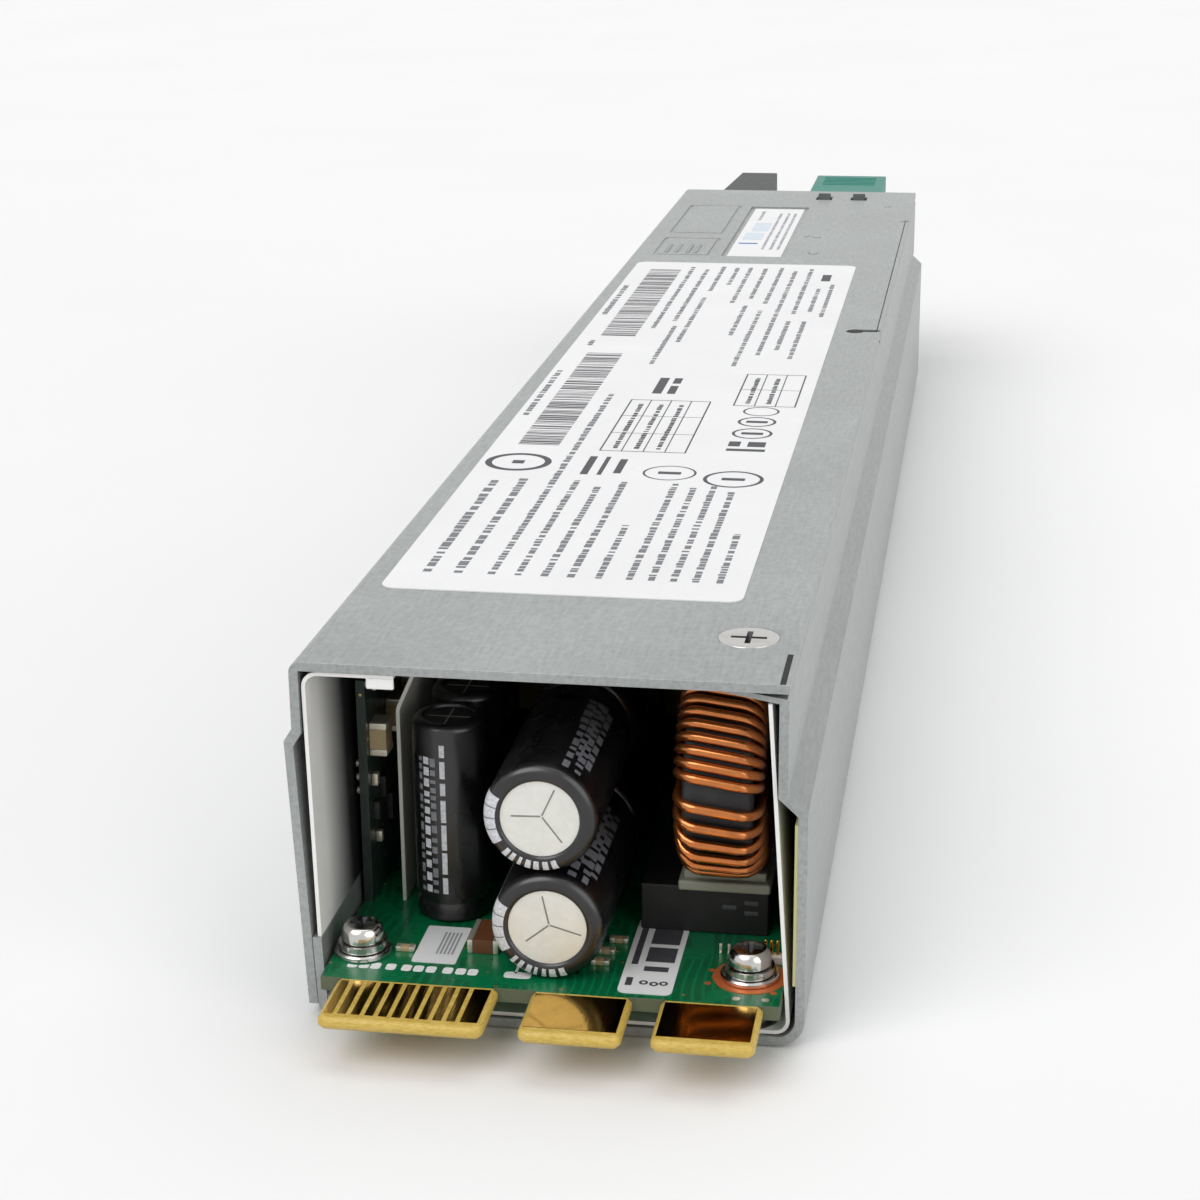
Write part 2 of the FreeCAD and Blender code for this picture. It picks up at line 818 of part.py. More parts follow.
def top_cover():
    """Roof and left wall, with the screw's countersink and the latch's windows."""
    cover = Body("top_cover")
    wall_top = D.left_shoulder + D.left_rise
    jog = D.sheet / 2
    cover.add("Y", NEAR, FAR, [
        (HALF_TOP, UNDER_ROOF),
        (HALF_TOP, ROOF),
        (-HALF_TOP, ROOF),
        (-HALF_TOP, wall_top),
        (-HALF_BODY, D.left_shoulder),
        (-HALF_BODY, D.roof_bend),
        (-(HALF_BODY - D.sheet), D.roof_bend),
        (-(HALF_BODY - D.sheet), D.left_shoulder - jog),
        (-(HALF_TOP - D.sheet), wall_top - jog),
        (-(HALF_TOP - D.sheet), UNDER_ROOF),
    ])
    cover.round_edges(D.roof_bend, [point(-HALF_TOP, 0, ROOF)])
    cover.cut("Y", FAR - D.face_step, FAR,
              rectangle((-(HALF_BODY + D.sheet), -HALF_TOP), (ZERO, wall_top)))
    screw_x = HALF_TOP - D.cover_screw_inset
    screw_y = NEAR + D.cover_screw_place
    cover.cut("Z", UNDER_ROOF, ROOF + D.sheet,
              Disc(screw_x, screw_y, D.cover_head_radius + D.screw_gap - D.cover_head_depth))
    rim = point(screw_x + D.cover_head_radius + D.screw_gap - D.cover_head_depth, screw_y, ROOF)
    cover.bevel_edges(D.cover_head_depth, [rim])
    relief_x = HALF_TOP - D.relief_inset
    relief_y = FAR - D.relief_place
    cover.cut("Z", UNDER_ROOF - D.sheet, ROOF + D.sheet, Disc(relief_x, relief_y, D.relief_radius))
    cover.cut("Z", UNDER_ROOF - D.sheet, ROOF + D.sheet,
              rectangle((relief_x, HALF_TOP + D.sheet), (relief_y, relief_y + D.relief_slot)))
    cover.cut("Z", UNDER_ROOF - D.sheet, ROOF + D.sheet,
              Disc(HALF_TOP - D.seam_hole_inset, FAR - D.seam_hole_place, D.seam_hole_radius))
    window_y = (FAR - D.tooth_place - D.tooth_length - D.window_gap,
                FAR - D.tooth_place + D.window_swing)
    cover.cut("Z", UNDER_ROOF - D.sheet, ROOF + D.sheet,
              *[rectangle((low - D.window_gap, high + D.window_gap), window_y)
                for low, high in tooth_spans()])
    cover.cut("Z", ROOF - D.recess_depth, ROOF,
              rectangle((-(D.small_label_left + D.recess_margin), D.small_label_right + D.recess_margin),
                        (FAR - D.small_label_place - D.recess_margin,
                         FAR - D.small_label_place + D.small_label_length + D.recess_margin)))
    groove = D.outline_groove
    left = -(HALF_TOP - D.outline_inset)
    right = left + D.outline_width
    for start, length in ((FAR - D.small_outline_place, D.small_outline_length),
                          (FAR - D.large_outline_place, D.large_outline_length)):
        cover.cut("Z", ROOF - D.outline_depth, ROOF,
                  rectangle((left, right), (start, start + length)),
                  rectangle((left + groove, right - groove),
                            (start + groove, start + length - groove)))
    return keep(cover.item)


def cover_screw():
    """Countersunk screw through the cover into the tray's roof lip."""
    x = HALF_TOP - D.cover_screw_inset
    y = NEAR + D.cover_screw_place
    low_radius = D.cover_head_radius - D.cover_head_depth
    head = cone("cover_screw_head", (x, y, ROOF - D.cover_head_depth),
                D.cover_head_depth, low_radius, D.cover_head_radius)
    shank = rod("cover_screw_shank", "Z", (x, y, ROOF - D.cover_screw_length),
                D.cover_screw_length - D.cover_head_depth, D.cover_shank_radius)
    return keep(join("cover_screw", [head, shank]))


def labels():
    """Blank label sheets stuck on the cover."""
    start = FAR - D.small_label_place
    for name, x, y, low in (
            ("main_label", (-(HALF_TOP - D.label_left_inset), HALF_TOP - D.label_right_inset),
             (NEAR + D.label_start, FAR - D.label_end_inset), ROOF),
            ("small_label", (-D.small_label_left, D.small_label_right),
             (start, start + D.small_label_length), ROOF - D.recess_depth)):
        label = Body(name)
        label.add("Z", low, low + D.label_sheet, rectangle(x, y))
        if name == "main_label":
            label.round_edges(D.label_corner, [point(a, b, low + D.label_sheet / 2) for a in x for b in y])
        keep(label.item)


def liner():
    """Folded insulating sheet: top flap, left wall, floor and leaning right wall."""
    left_top = -(HALF_TOP - D.sheet - D.liner_gap)
    left_low = -(HALF_BODY - D.sheet * 2 - D.lap_gap - D.liner_gap)
    top = UNDER_ROOF - D.liner_gap
    low = D.sheet + D.liner_gap
    right_low = HALF_BODY - D.sheet - D.liner_gap - D.side_tape_sheet
    right_top = UNDER_ROOF - D.sheet - D.liner_gap * 2
    jog = D.sheet / 2 + D.liner_gap
    start = NEAR + D.liner_setback
    sheet = folded_sheet("liner_sheet_fold", [
        (left_top + D.liner_flap, top),
        (left_top, top),
        (left_top, D.left_shoulder + D.left_rise - jog),
        (left_low, D.left_shoulder - D.left_rise - jog),
        (left_low, low),
        (right_low, low),
        (right_low - (right_top - low) * D.liner_slope, right_top),
    ], D.liner_fold, D.liner_sheet, start, LINER_END - start)
    holes = [rod(f"liner_hole_{number}", "Z", (x, y, ZERO), D.board_top,
                 D.standoff_radius + D.screw_gap)
             for number, (x, y) in enumerate(standoff_spots(), start=1)]
    flap_end = left_top + D.liner_flap
    tongue = box("liner_tongue", (flap_end - D.liner_tongue_width, flap_end),
                 (start, start + D.liner_sheet),
                 (top - D.liner_sheet - D.liner_tongue_drop, top - D.liner_sheet))
    return keep(join("liner", [carve("liner_sheet_cut", sheet, holes), tongue]))


def side_tape():
    """Yellow tape on the inner face of the right wall."""
    outer = HALF_BODY - D.sheet
    return keep(box("side_tape", (outer - D.side_tape_sheet, outer),
                    (NEAR, LINER_END), (D.side_tape_low, D.side_tape_high)))


# -------------------------------------------------------------- board and card edge


def standoff_spots():
    """Centres of the board's screws: two at the card edge and two at the rear."""
    return [(x, y) for y in (NEAR + D.board_screw_place, BOARD_END - D.rear_screw_inset)
            for x in (BOARD_LEFT + D.board_screw_left_inset, BOARD_RIGHT - D.board_screw_right_inset)]


def signal_tab():
    left = BOARD_LEFT + D.tab_left_margin * WIDE
    return left, left + D.signal_tab_width * WIDE


def power_tabs():
    width = D.power_tab_width * WIDE
    first = signal_tab()[1] + D.signal_tab_gap * WIDE
    second = first + width + D.power_tab_gap * WIDE
    return [(first, first + width), (second, second + width)]


def main_board():
    """Circuit board whose front edge carries one signal tab and two power tabs."""
    board = Body("main_board")
    low = D.board_top - D.board_sheet
    nose = NEAR - D.board_nose
    tip = NEAR - D.tab_reach
    tabs = [signal_tab()] + power_tabs()
    outline = [(BOARD_LEFT, BOARD_END), (BOARD_LEFT, nose)]
    for left, right in tabs:
        outline += [(left, nose), (left, tip), (right, tip), (right, nose)]
    outline += [(BOARD_RIGHT, nose), (BOARD_RIGHT, BOARD_END)]
    board.add("Z", low, D.board_top, outline)
    middle = low + D.board_sheet / 2
    board.round_edges(D.tab_corner, [point(x, tip, middle) for tab in tabs for x in tab])
    for z in (low, D.board_top):
        board.bevel_edges(D.tip_bevel, [point((left + right) / 2, tip, z) for left, right in tabs])
    board.cut("Z", low, D.board_top,
              *[Disc(x, y, D.board_hole_radius) for x, y in standoff_spots()])
    return keep(board.item)


def edge_contacts():
    """Gold contacts on both faces of the tabs: narrow fingers, a wide one and pads."""
    contacts = Body("edge_contacts")
    span = (NEAR - D.tab_reach + D.finger_tip_gap, NEAR - D.finger_root)
    left, right = signal_tab()
    first = left + D.finger_start * WIDE
    starts = [first + D.finger_pitch * WIDE * index for index in range(int(D.finger_count.value))]
    strips = [(start, start + D.finger_width * WIDE) for start in starts]
    wide_right = right - D.finger_start * WIDE
    strips.append((wide_right - D.wide_finger_width * WIDE, wide_right))
    strips += [(left + D.pad_margin, right - D.pad_margin) for left, right in power_tabs()]
    outlines = [rectangle(strip, span) for strip in strips]
    contacts.add("Z", D.board_top, D.board_top + D.plating, *outlines)
    low = D.board_top - D.board_sheet
    contacts.add("Z", low - D.plating, low, *outlines)
    return keep(contacts.item)


def board_fasteners():
    """Standoffs below the board, then ring, washers and screw above it."""
    standoffs, flats, locks, screws = [], [], [], []
    low = D.board_top - D.board_sheet
    flat_top = D.board_top + D.earth_ring_sheet + D.flat_washer_sheet
    lock_top = flat_top + D.lock_washer_sheet
    for number, (x, y) in enumerate(standoff_spots(), start=1):
        bore = D.board_shank_radius + D.screw_gap
        standoffs.append(carve(f"standoff_{number}", rod(f"standoff_bar_{number}", "Z", (x, y, D.sheet),
                               low - D.sheet, D.standoff_radius),
                               [rod(f"standoff_bore_{number}", "Z", (x, y, ZERO), low, bore)]))
        flats.append(carve(f"flat_washer_{number}",
                           rod(f"flat_disc_{number}", "Z", (x, y, flat_top - D.flat_washer_sheet),
                               D.flat_washer_sheet, D.flat_washer_radius),
                           [rod(f"flat_bore_{number}", "Z", (x, y, ZERO), ROOF, bore)]))
        locks.append(carve(f"lock_washer_{number}",
                           rod(f"lock_disc_{number}", "Z", (x, y, flat_top),
                               D.lock_washer_sheet, D.lock_washer_radius),
                           [rod(f"lock_bore_{number}", "Z", (x, y, ZERO), ROOF, bore)]))
        head = rod(f"screw_head_{number}", "Z", (x, y, lock_top), D.board_head_height, D.board_head_radius)
        shank = rod(f"screw_shank_{number}", "Z", (x, y, D.sheet + D.screw_gap),
                    lock_top - D.sheet - D.screw_gap, D.board_shank_radius)
        screws.append(join(f"board_screw_{number}", [head, shank]))
    keep(group("standoffs", standoffs))
    keep(group("flat_washers", flats))
    keep(group("lock_washers", locks))
    keep(group("board_screws", screws))
    rings = []
    for number, (x, y) in enumerate(standoff_spots(), start=1):
        disc = rod(f"ring_disc_{number}", "Z", (x, y, D.board_top), D.earth_ring_sheet, D.earth_ring_radius)
        hole = rod(f"ring_hole_{number}", "Z", (x, y, ZERO), ROOF, D.board_hole_radius)
        rings.append(carve(f"earth_ring_{number}", disc, [hole]))
    keep(group("earth_rings", rings))


def stickers():
    """Blank stickers on the front of the board."""
    top = D.board_top
    left = -D.small_sticker_left * WIDE
    small = box("small_sticker", (left, left + D.small_sticker_width * WIDE),
                (NEAR + D.small_sticker_place, NEAR + D.small_sticker_place + D.small_sticker_length),
                (top, top + D.sticker_sheet))
    left = D.large_sticker_left * WIDE
    large = box("large_sticker", (left, left + D.large_sticker_width * WIDE),
                (NEAR + D.large_sticker_place, NEAR + D.large_sticker_place + D.large_sticker_length),
                (top, top + D.sticker_sheet))
    return keep(group("board_stickers", [small, large]))


# ------------------------------------------------------------- output end of the board


def capacitor(name, axis, start, length, radius, sleeve, face_radius):
    """A can and its shrink sleeve, which turns in over both ends of the can."""
    along = {"Y": 1, "Z": 2}[axis]
    inner_start = list(start)
    inner_start[along] = start[along] + sleeve
    can = rod(f"{name}_can", axis, inner_start, length - sleeve * 2, radius - sleeve)
    bore = rod(f"{name}_bore", axis, inner_start, length - sleeve * 2, radius - sleeve)
    window = rod(f"{name}_window", axis, start, length, face_radius)
    skin = carve(f"{name}_skin", rod(f"{name}_outer", axis, start, length, radius), [bore, window])
    return can, skin


def output_capacitors():
    """Two rows of two lying capacitors, one pair stacked on the other."""
    cans, skins = [], []
    low = D.board_top + D.cap_radius
    for row, y in enumerate((NEAR - D.cap_front,
                             NEAR - D.cap_front + D.cap_length + D.cap_row_gap), start=1):
        for level, z in enumerate((low, low + D.cap_radius * 2 + D.cap_stack_gap), start=1):
            can, skin = capacitor(f"output_{row}{level}", "Y", (D.cap_centre * WIDE, y, z), D.cap_length,
                                  D.cap_radius, D.cap_sleeve, D.cap_face_radius)
            cans.append(can)
            skins.append(skin)
    keep(group("output_cap_cans", cans))
    keep(group("output_cap_sleeves", skins))


def post_capacitors():
    """Two capacitors standing on the board."""
    cans, skins = [], []
    height = HEADROOM - D.post_cap_roof_gap
    for number, y in enumerate((NEAR + D.post_cap_place,
                                NEAR + D.post_cap_place + D.post_cap_pitch), start=1):
        can, skin = capacitor(f"post_{number}", "Z", (-D.post_cap_centre * WIDE, y, D.board_top),
                              height, D.post_cap_radius, D.cap_sleeve,
                              D.post_cap_face_radius)
        cans.append(can)
        skins.append(skin)
    keep(group("post_cap_cans", cans))
    keep(group("post_cap_sleeves", skins))


def wound_ring(core_name, coil_name, x, y, z, radius, hole, width, build, gap_angle):
    """A ring core on edge, its axis along X, with a coil in an upper and a lower half."""
    half = width / 2
    ring = carve(core_name, rod(f"{core_name}_disc", "X", (x - half, y, z), width, radius),
                 [rod(f"{core_name}_hole", "X", (x - half, y, z), width, hole)])
    keep(ring)
    coil = Body(coil_name)
    outlines = []
    for side in (1, -1):
        for grow in (build, ZERO):
            low, high = (hole - grow) * side, (radius + grow) * side
            outlines.append(rectangle((x - half - grow, x + half + grow), (low, high)))
    coil.spin("Y", z, y, 180 - gap_angle, *outlines)
    outer = (radius + build)
    coil.bevel_edges(build, [point(x + (half + build) * end, y, z + outer * side)
                             for end in (-1, 1) for side in (-1, 1)])
    keep(coil.item)


def output_choke():
    """The wound ring in the card-edge opening, on its base above the driver module."""
    centre = D.ring_centre * WIDE
    radius = (UNDER_ROOF - D.lap_gap - D.sheet - D.ring_roof_gap - D.ring_base_top) / 2
    wound_ring("output_choke_core", "output_choke_coil", centre, NEAR + D.ring_place,
               D.ring_base_top + radius, radius - D.coil_build, D.core_hole_radius, D.core_width * WIDE,
               D.coil_build, D.coil_gap_angle)
    x = (centre - D.ring_base_left, centre + D.ring_base_right)
    y = (NEAR + D.ring_base_front, NEAR + D.ring_base_front + D.ring_base_depth)
    under = D.ring_base_top - D.ring_base_sheet
    plate = box("ring_base_plate", x, y, (under, D.ring_base_top))
    legs = []
    for number, (a, b) in enumerate(((x[0], y[0] + D.module_inset * 2), (x[0], y[1] - D.chip_width)), start=1):
        legs.append(box(f"ring_base_leg_{number}", (a, a + D.chip_width), (b, b + D.chip_width / 2),
                        (D.board_top + D.sticker_sheet, under)))
    keep(join("output_choke_base", [plate] + legs))
    keep(box("driver_module", (centre - D.module_left, x[1] - D.module_inset),
             (y[0] + D.module_inset, y[1] - D.module_inset), (D.board_top, under)))
    pins = []
    for number in range(int(D.sense_pin_count.value)):
        right = BOARD_RIGHT - D.sense_pin_side - D.sense_pin_pitch * number
        pins.append(box(f"sense_pin_{number}", (right - D.sense_pin_side, right),
                        (NEAR + D.sense_pin_place, NEAR + D.sense_pin_place + D.sense_pin_side),
                        (D.board_top, D.board_top + D.sense_pin_height)))
    keep(group("sense_pins", pins))


def control_card():
    """Small board standing at the left with a row of chips and a header on top."""
    left = BOARD_LEFT + D.card_inset
    right = left + D.card_sheet
    top = UNDER_ROOF - D.card_roof_gap
    front = NEAR + D.card_front
    keep(box("control_card", (left, right), (front, front + D.card_length),
             (D.board_top, top)))
    chips = []
    for number in range(int(D.chip_count.value)):
        y = front + D.chip_width / 2 + D.chip_pitch * number
        z = top - D.chip_drop - D.chip_height
        chips.append(box(f"chip_{number}", (right, right + D.chip_width), (y, y + D.chip_depth),
                         (z, z + D.chip_height)))
    keep(group("card_chips", chips))
    keep(box("card_header", (right, right + D.header_reach), (front, front + D.header_length),
             (top - D.header_height, top)))


def screen_sheet():
    """Insulating sheet between the card and the capacitors, leaning over at the top."""
    x = -D.screen_left * WIDE
    return keep(folded_sheet("screen_sheet", [
        (x + D.screen_lean, UNDER_ROOF - D.screen_roof_gap),
        (x, UNDER_ROOF - D.screen_bend_gap),
        (x, D.board_top),
    ], D.screen_fold, D.screen_sheet, NEAR + D.screen_front, D.screen_length))


def brown_chip():
    left = -D.brown_chip_left * WIDE
    front = NEAR + D.brown_chip_place
    return keep(box("brown_chip", (left, left + D.brown_chip_width), (front, front + D.brown_chip_depth),
                    (D.board_top, D.board_top + D.brown_chip_height)))


# --------------------------------------------------------- middle and mains end of the board


def heat_sink(name, devices, start, length):
    """Extruded aluminium sink with level fins, and the transistors clamped to it."""
    sink = Body(name)
    left = D.sink_wall_left * WIDE
    wall = left + D.sink_wall
    low = D.board_top
    high = UNDER_ROOF - D.sink_roof_gap
    pitch = (high - low - D.fin_sheet) / (D.fin_count - 1)
    outline = [(left, low)]
    for number in range(int(D.fin_count.value)):
        z = low + pitch * number
        outline += [(wall, z), (wall + D.sink_reach * WIDE, z),
                    (wall + D.sink_reach * WIDE, z + D.fin_sheet), (wall, z + D.fin_sheet)]
    outline = [outline[0]] + outline[2:-1] + [(left, high)]
    sink.add("Y", start, start + length, outline)
    keep(sink.item)
    count = int((length.value - D.transistor_width.value) // D.transistor_pitch.value) + 1
    packs = []
    for number in range(count):
        y = start + D.transistor_gap + D.transistor_pitch * number
        foot = low + D.transistor_foot
        face = left - D.transistor_gap
        body = box(f"{devices}_body_{number}", (face - D.transistor_sheet, face),
                   (y, y + D.transistor_width), (foot, foot + D.transistor_height))
        tab = box(f"{devices}_tab_{number}", (face - D.transistor_tab, face),
                  (y, y + D.transistor_width),
                  (foot + D.transistor_height, foot + D.transistor_height * 3 / 2))
        middle = y + D.transistor_width / 2
        legs = [box(f"{devices}_leg_{number}_{side}",
                    (face - D.transistor_sheet / 2, face - D.transistor_sheet / 2 + D.chip_width / 4),
                    (middle + D.chip_width * side, middle + D.chip_width * side + D.chip_width / 4),
                    (low, foot)) for side in (-1, 0, 1)]
        packs.append(join(f"{devices}_{number}", [body, tab] + legs))
    keep(group(devices, packs))


def transformer():
    """Ferrite frame around a taped coil, standing on the board."""
    left = -D.transformer_left * WIDE
    x = (left, left + D.transformer_width * WIDE)
    y = (NEAR + D.transformer_place, NEAR + D.transformer_place + D.transformer_length)
    z = (D.board_top, UNDER_ROOF - D.transformer_roof_gap)
    core = Body("transformer_core")
    core.add("X", x[0] + D.ferrite_leg, x[1] - D.ferrite_leg, rectangle(y, z))
    middle = (z[0] + z[1]) / 2
    window_y = (y[0] + D.ferrite_leg, y[1] - D.ferrite_leg)
    core.cut("X", x[0], x[1],
             rectangle(window_y, (z[0] + D.ferrite_back, middle - D.ferrite_leg / 2)),
             rectangle(window_y, (middle + D.ferrite_leg / 2, z[1] - D.ferrite_back)))
    keep(core.item)
    coil = Body("transformer_coil")
    gap = D.coil_clearance
    coil.add("Y", window_y[0] + gap, window_y[1] - gap,
             rectangle(x, (z[0] + D.ferrite_back + gap, z[1] - D.ferrite_back - gap)),
             rectangle((x[0] + D.ferrite_leg - gap, x[1] - D.ferrite_leg + gap),
                       (middle - D.ferrite_leg / 2 - gap, middle + D.ferrite_leg / 2 + gap)))
    keep(coil.item)


def store_capacitor():
    """The large mains capacitor lying along the board."""
    radius = Size.least(D.store_radius * WIDE, (HEADROOM - D.store_roof_gap) / 2)
    can, skin = capacitor("store", "Y",
                          (-D.store_centre * WIDE, bay(D.bay_gap), D.board_top + radius),
                          D.store_length * MAINS, radius, D.store_sleeve,
                          radius - D.store_face_inset)
    keep(group("store_cap_can", [can]))
    keep(group("store_cap_sleeve", [skin]))


def bay(offset):
    """A place in the mains bay, as it lies when the bay has its drawn length."""
    return NEAR + D.mains_start + offset * MAINS


def mains_parts():
    """Boost choke, filter choke, filter blocks, relay, bridge rectifier and fuse."""
    radius = Size.least(D.mains_ring_radius * MAINS, (HEADROOM - D.store_roof_gap) / 2)
    first = D.bay_gap * 2 + D.store_length + D.mains_ring_radius
    second = first + D.mains_ring_radius * 2 + D.bay_gap
    for core, coil, place in (("boost_choke_core", "boost_choke_coil", first),
                              ("filter_choke_core", "filter_choke_coil", second)):
        wound_ring(core, coil, -D.mains_ring_centre * WIDE, bay(place), D.board_top + radius,
                   radius - D.coil_build, D.mains_ring_hole * MAINS, D.mains_ring_width,
                   D.coil_build, D.coil_gap_angle)
    blocks = []
    x = (-(D.block_centre + D.block_width / 2) * WIDE, -(D.block_centre - D.block_width / 2) * WIDE)
    for number in range(int(D.block_count.value)):
        place = second + D.mains_ring_radius + D.bay_gap + (D.block_depth + D.bay_gap) * number
        blocks.append(box(f"filter_block_{number}", x, (bay(place), bay(place + D.block_depth)),
                          (D.board_top, D.board_top + D.block_height)))
    keep(group("filter_blocks", blocks))
    keep(box("relay", (D.relay_left * WIDE, (D.relay_left + D.relay_width) * WIDE),
             (bay(D.relay_place), bay(D.relay_place + D.relay_length)),
             (D.board_top, D.board_top + D.relay_height)))
    left = D.bridge_left * WIDE
    keep(box("bridge_rectifier", (left, left + D.bridge_sheet),
             (bay(D.bridge_place), bay(D.bridge_place + D.bridge_length)),
             (D.board_top, D.board_top + D.bridge_height)))
    keep(rod("fuse", "X", (-D.fuse_left * WIDE, BOARD_END - D.fuse_inset, D.board_top + D.fuse_radius),
             D.fuse_length, D.fuse_radius))


# ------------------------------------------------------------------------- handle end


def fan_span():
    return FAN_FRONT, FAN_FRONT + D.fan_depth


def fan_middle():
    """Centre of the fan across X and Z."""
    return -(HALF_TOP - D.fan_inset) + FAN_SIDE / 2, D.sheet + D.fan_lift + FAN_SIDE / 2


def fan_frame():
    """Square fan housing with a round bore, four struts and the bearing post."""
    frame = Body("fan_frame")
    x, z = fan_middle()
    low, high = fan_span()
    half = FAN_SIDE / 2
    frame.add("Y", low, high, rectangle((x - half, x + half), (z - half, z + half)))
    frame.round_edges(D.fan_corner, [point(x + half * a, (low + high) / 2, z + half * b)
                                     for a in (-1, 1) for b in (-1, 1)])
    frame.cut("Y", low, high, Disc(x, z, FAN_BORE))
    inset = half - D.fan_hole_inset
    frame.cut("Y", low, high, *[Disc(x + inset * a, z + inset * b, D.fan_hole_radius)
                                for a in (-1, 1) for b in (-1, 1)])
    plate = (high - D.motor_plate_depth, high)
    reach = FAN_BORE + D.fan_wall / 2
    strut = D.strut_width / 2
    frame.add("Y", *plate, Disc(x, z, D.fan_hub_radius))
    frame.add("Y", *plate, rectangle((x - reach, x + reach), (z - strut, z + strut)))
    frame.add("Y", *plate, rectangle((x - strut, x + strut), (z - reach, z + reach)))
    cup = high - D.motor_plate_depth - D.fan_hub_depth
    frame.add("Y", cup + D.fan_wall * 2, high, Disc(x, z, D.motor_post_radius))
    frame.cut("Y", cup, high - D.fan_wall, Disc(x, z, D.shaft_radius + D.shaft_gap))
    return keep(frame.item)


def fan_rotor():
    """Hub cup, shaft and swept blades turning on the bearing post."""
    x, z = fan_middle()
    high = fan_span()[1] - D.motor_plate_depth - D.rotor_gap
    low = high - D.fan_hub_depth
    hub = carve("rotor_hub", rod("rotor_hub_bar", "Y", (x, low, z), D.fan_hub_depth, D.fan_hub_radius),
                [rod("rotor_cup", "Y", (x, low + D.fan_wall, z), D.fan_hub_depth,
                     D.fan_hub_radius - D.fan_wall)])
    shaft = rod("rotor_shaft", "Y", (x, low, z), D.fan_hub_depth, D.shaft_radius)
    blades = DOC.addObject("Part::Feature", "rotor_blades")
    blade = blade_solid()
    centre = FreeCAD.Vector(x.value, low.value + D.fan_hub_depth.value / 2, z.value)
    step = 360 / D.blade_count.value
    turns = [FreeCAD.Rotation(FreeCAD.Vector(0, 1, 0), step * number)
             for number in range(int(D.blade_count.value))]
    blades.Shape = Part.makeCompound(
        [blade.transformed(FreeCAD.Placement(centre, turn).toMatrix()) for turn in turns])
    blades.Placement = FreeCAD.Placement()
    return keep(join("fan_rotor", [hub, shaft, blades]))


def blade_solid():
    """One blade about the Y axis: a loft whose twist grows outwards, trimmed round."""
    root = D.fan_hub_radius.value - D.fan_wall.value / 2
    tip = FAN_BORE.value - D.fan_tip_gap.value
    depth = D.blade_depth.value
    half = D.blade_sheet.value / 2
    sections = []
    for share in (0, 1 / 2, 1):
        radius = root / 2 + (tip - root / 2) * share
        angle = D.blade_root_angle.value + (D.blade_tip_angle - D.blade_root_angle).value * share
        chord = depth / 2 / math.cos(math.radians(angle))
        corners = [FreeCAD.Vector(a, b, 0) for a, b in
                   ((-half, -chord), (half, -chord), (half, chord), (-half, chord))]
        lean = FreeCAD.Rotation(FreeCAD.Vector(0, 0, 1), angle)
        spots = [lean.multVec(corner) + FreeCAD.Vector(0, 0, radius) for corner in corners]
        sections.append(Part.makePolygon(spots + spots[:1]))
    start = FreeCAD.Vector(0, -depth, 0)
    along = FreeCAD.Vector(0, 1, 0)
    ring = Part.makeCylinder(tip, depth * 2, start, along).cut(
        Part.makeCylinder(root, depth * 2, start, along))
    return Part.makeLoft(sections, True, False).common(ring)


def inlet_pin_spots():
    """Centres of the line, neutral and earth pins across X and Z."""
    z = INLET_Z - D.inlet_pin_drop
    return [(INLET_X - D.inlet_pin_spacing, z), (INLET_X + D.inlet_pin_spacing, z),
            (INLET_X, z + D.inlet_pin_offset)]


def inlet():
    """Mains inlet: rim, body with its keyed socket, and three flat pins."""
    shell = Body("inlet_shell")
    x, z = INLET_X, INLET_Z
    face = FAR + D.inlet_rim
    rim_x = (x - D.inlet_rim_width / 2, x + D.inlet_rim_width / 2)
    rim_z = (z - D.inlet_rim_height / 2, z + D.inlet_rim_height / 2)
    shell.add("Y", FAR, face, rectangle(rim_x, rim_z))
    shell.round_edges(D.inlet_corner, [point(a, (FAR + face) / 2, b) for a in rim_x for b in rim_z])
    half_x, half_z = D.inlet_body_width / 2, D.inlet_body_height / 2
    shell.add("Y", face - D.inlet_depth, FAR, rectangle((x - half_x, x + half_x), (z - half_z, z + half_z)))
    half_x, half_z = D.socket_width / 2, D.socket_height / 2
    key = D.socket_chamfer
    shell.cut("Y", face - D.socket_depth, face, [
        (x - half_x, z - half_z), (x + half_x, z - half_z),
        (x + half_x, z + half_z - key), (x + half_x - key, z + half_z),
        (x - half_x + key, z + half_z), (x - half_x, z + half_z - key)])
    half_x = D.inlet_pin_width / 2
    half_z = D.inlet_pin_height / 2
    gap = D.pin_slot_gap
    shell.cut("Y", face - D.inlet_depth, face,
              *[rectangle((a - half_x - gap, a + half_x + gap), (b - half_z - gap, b + half_z + gap))
                for a, b in inlet_pin_spots()])
    keep(shell.item)
    pins = [box(f"inlet_pin_{number}", (a - half_x, a + half_x),
                (FAR - D.inlet_pin_back, face - D.inlet_pin_recess), (b - half_z, b + half_z))
            for number, (a, b) in enumerate(inlet_pin_spots())]
    keep(group("inlet_pins", pins))


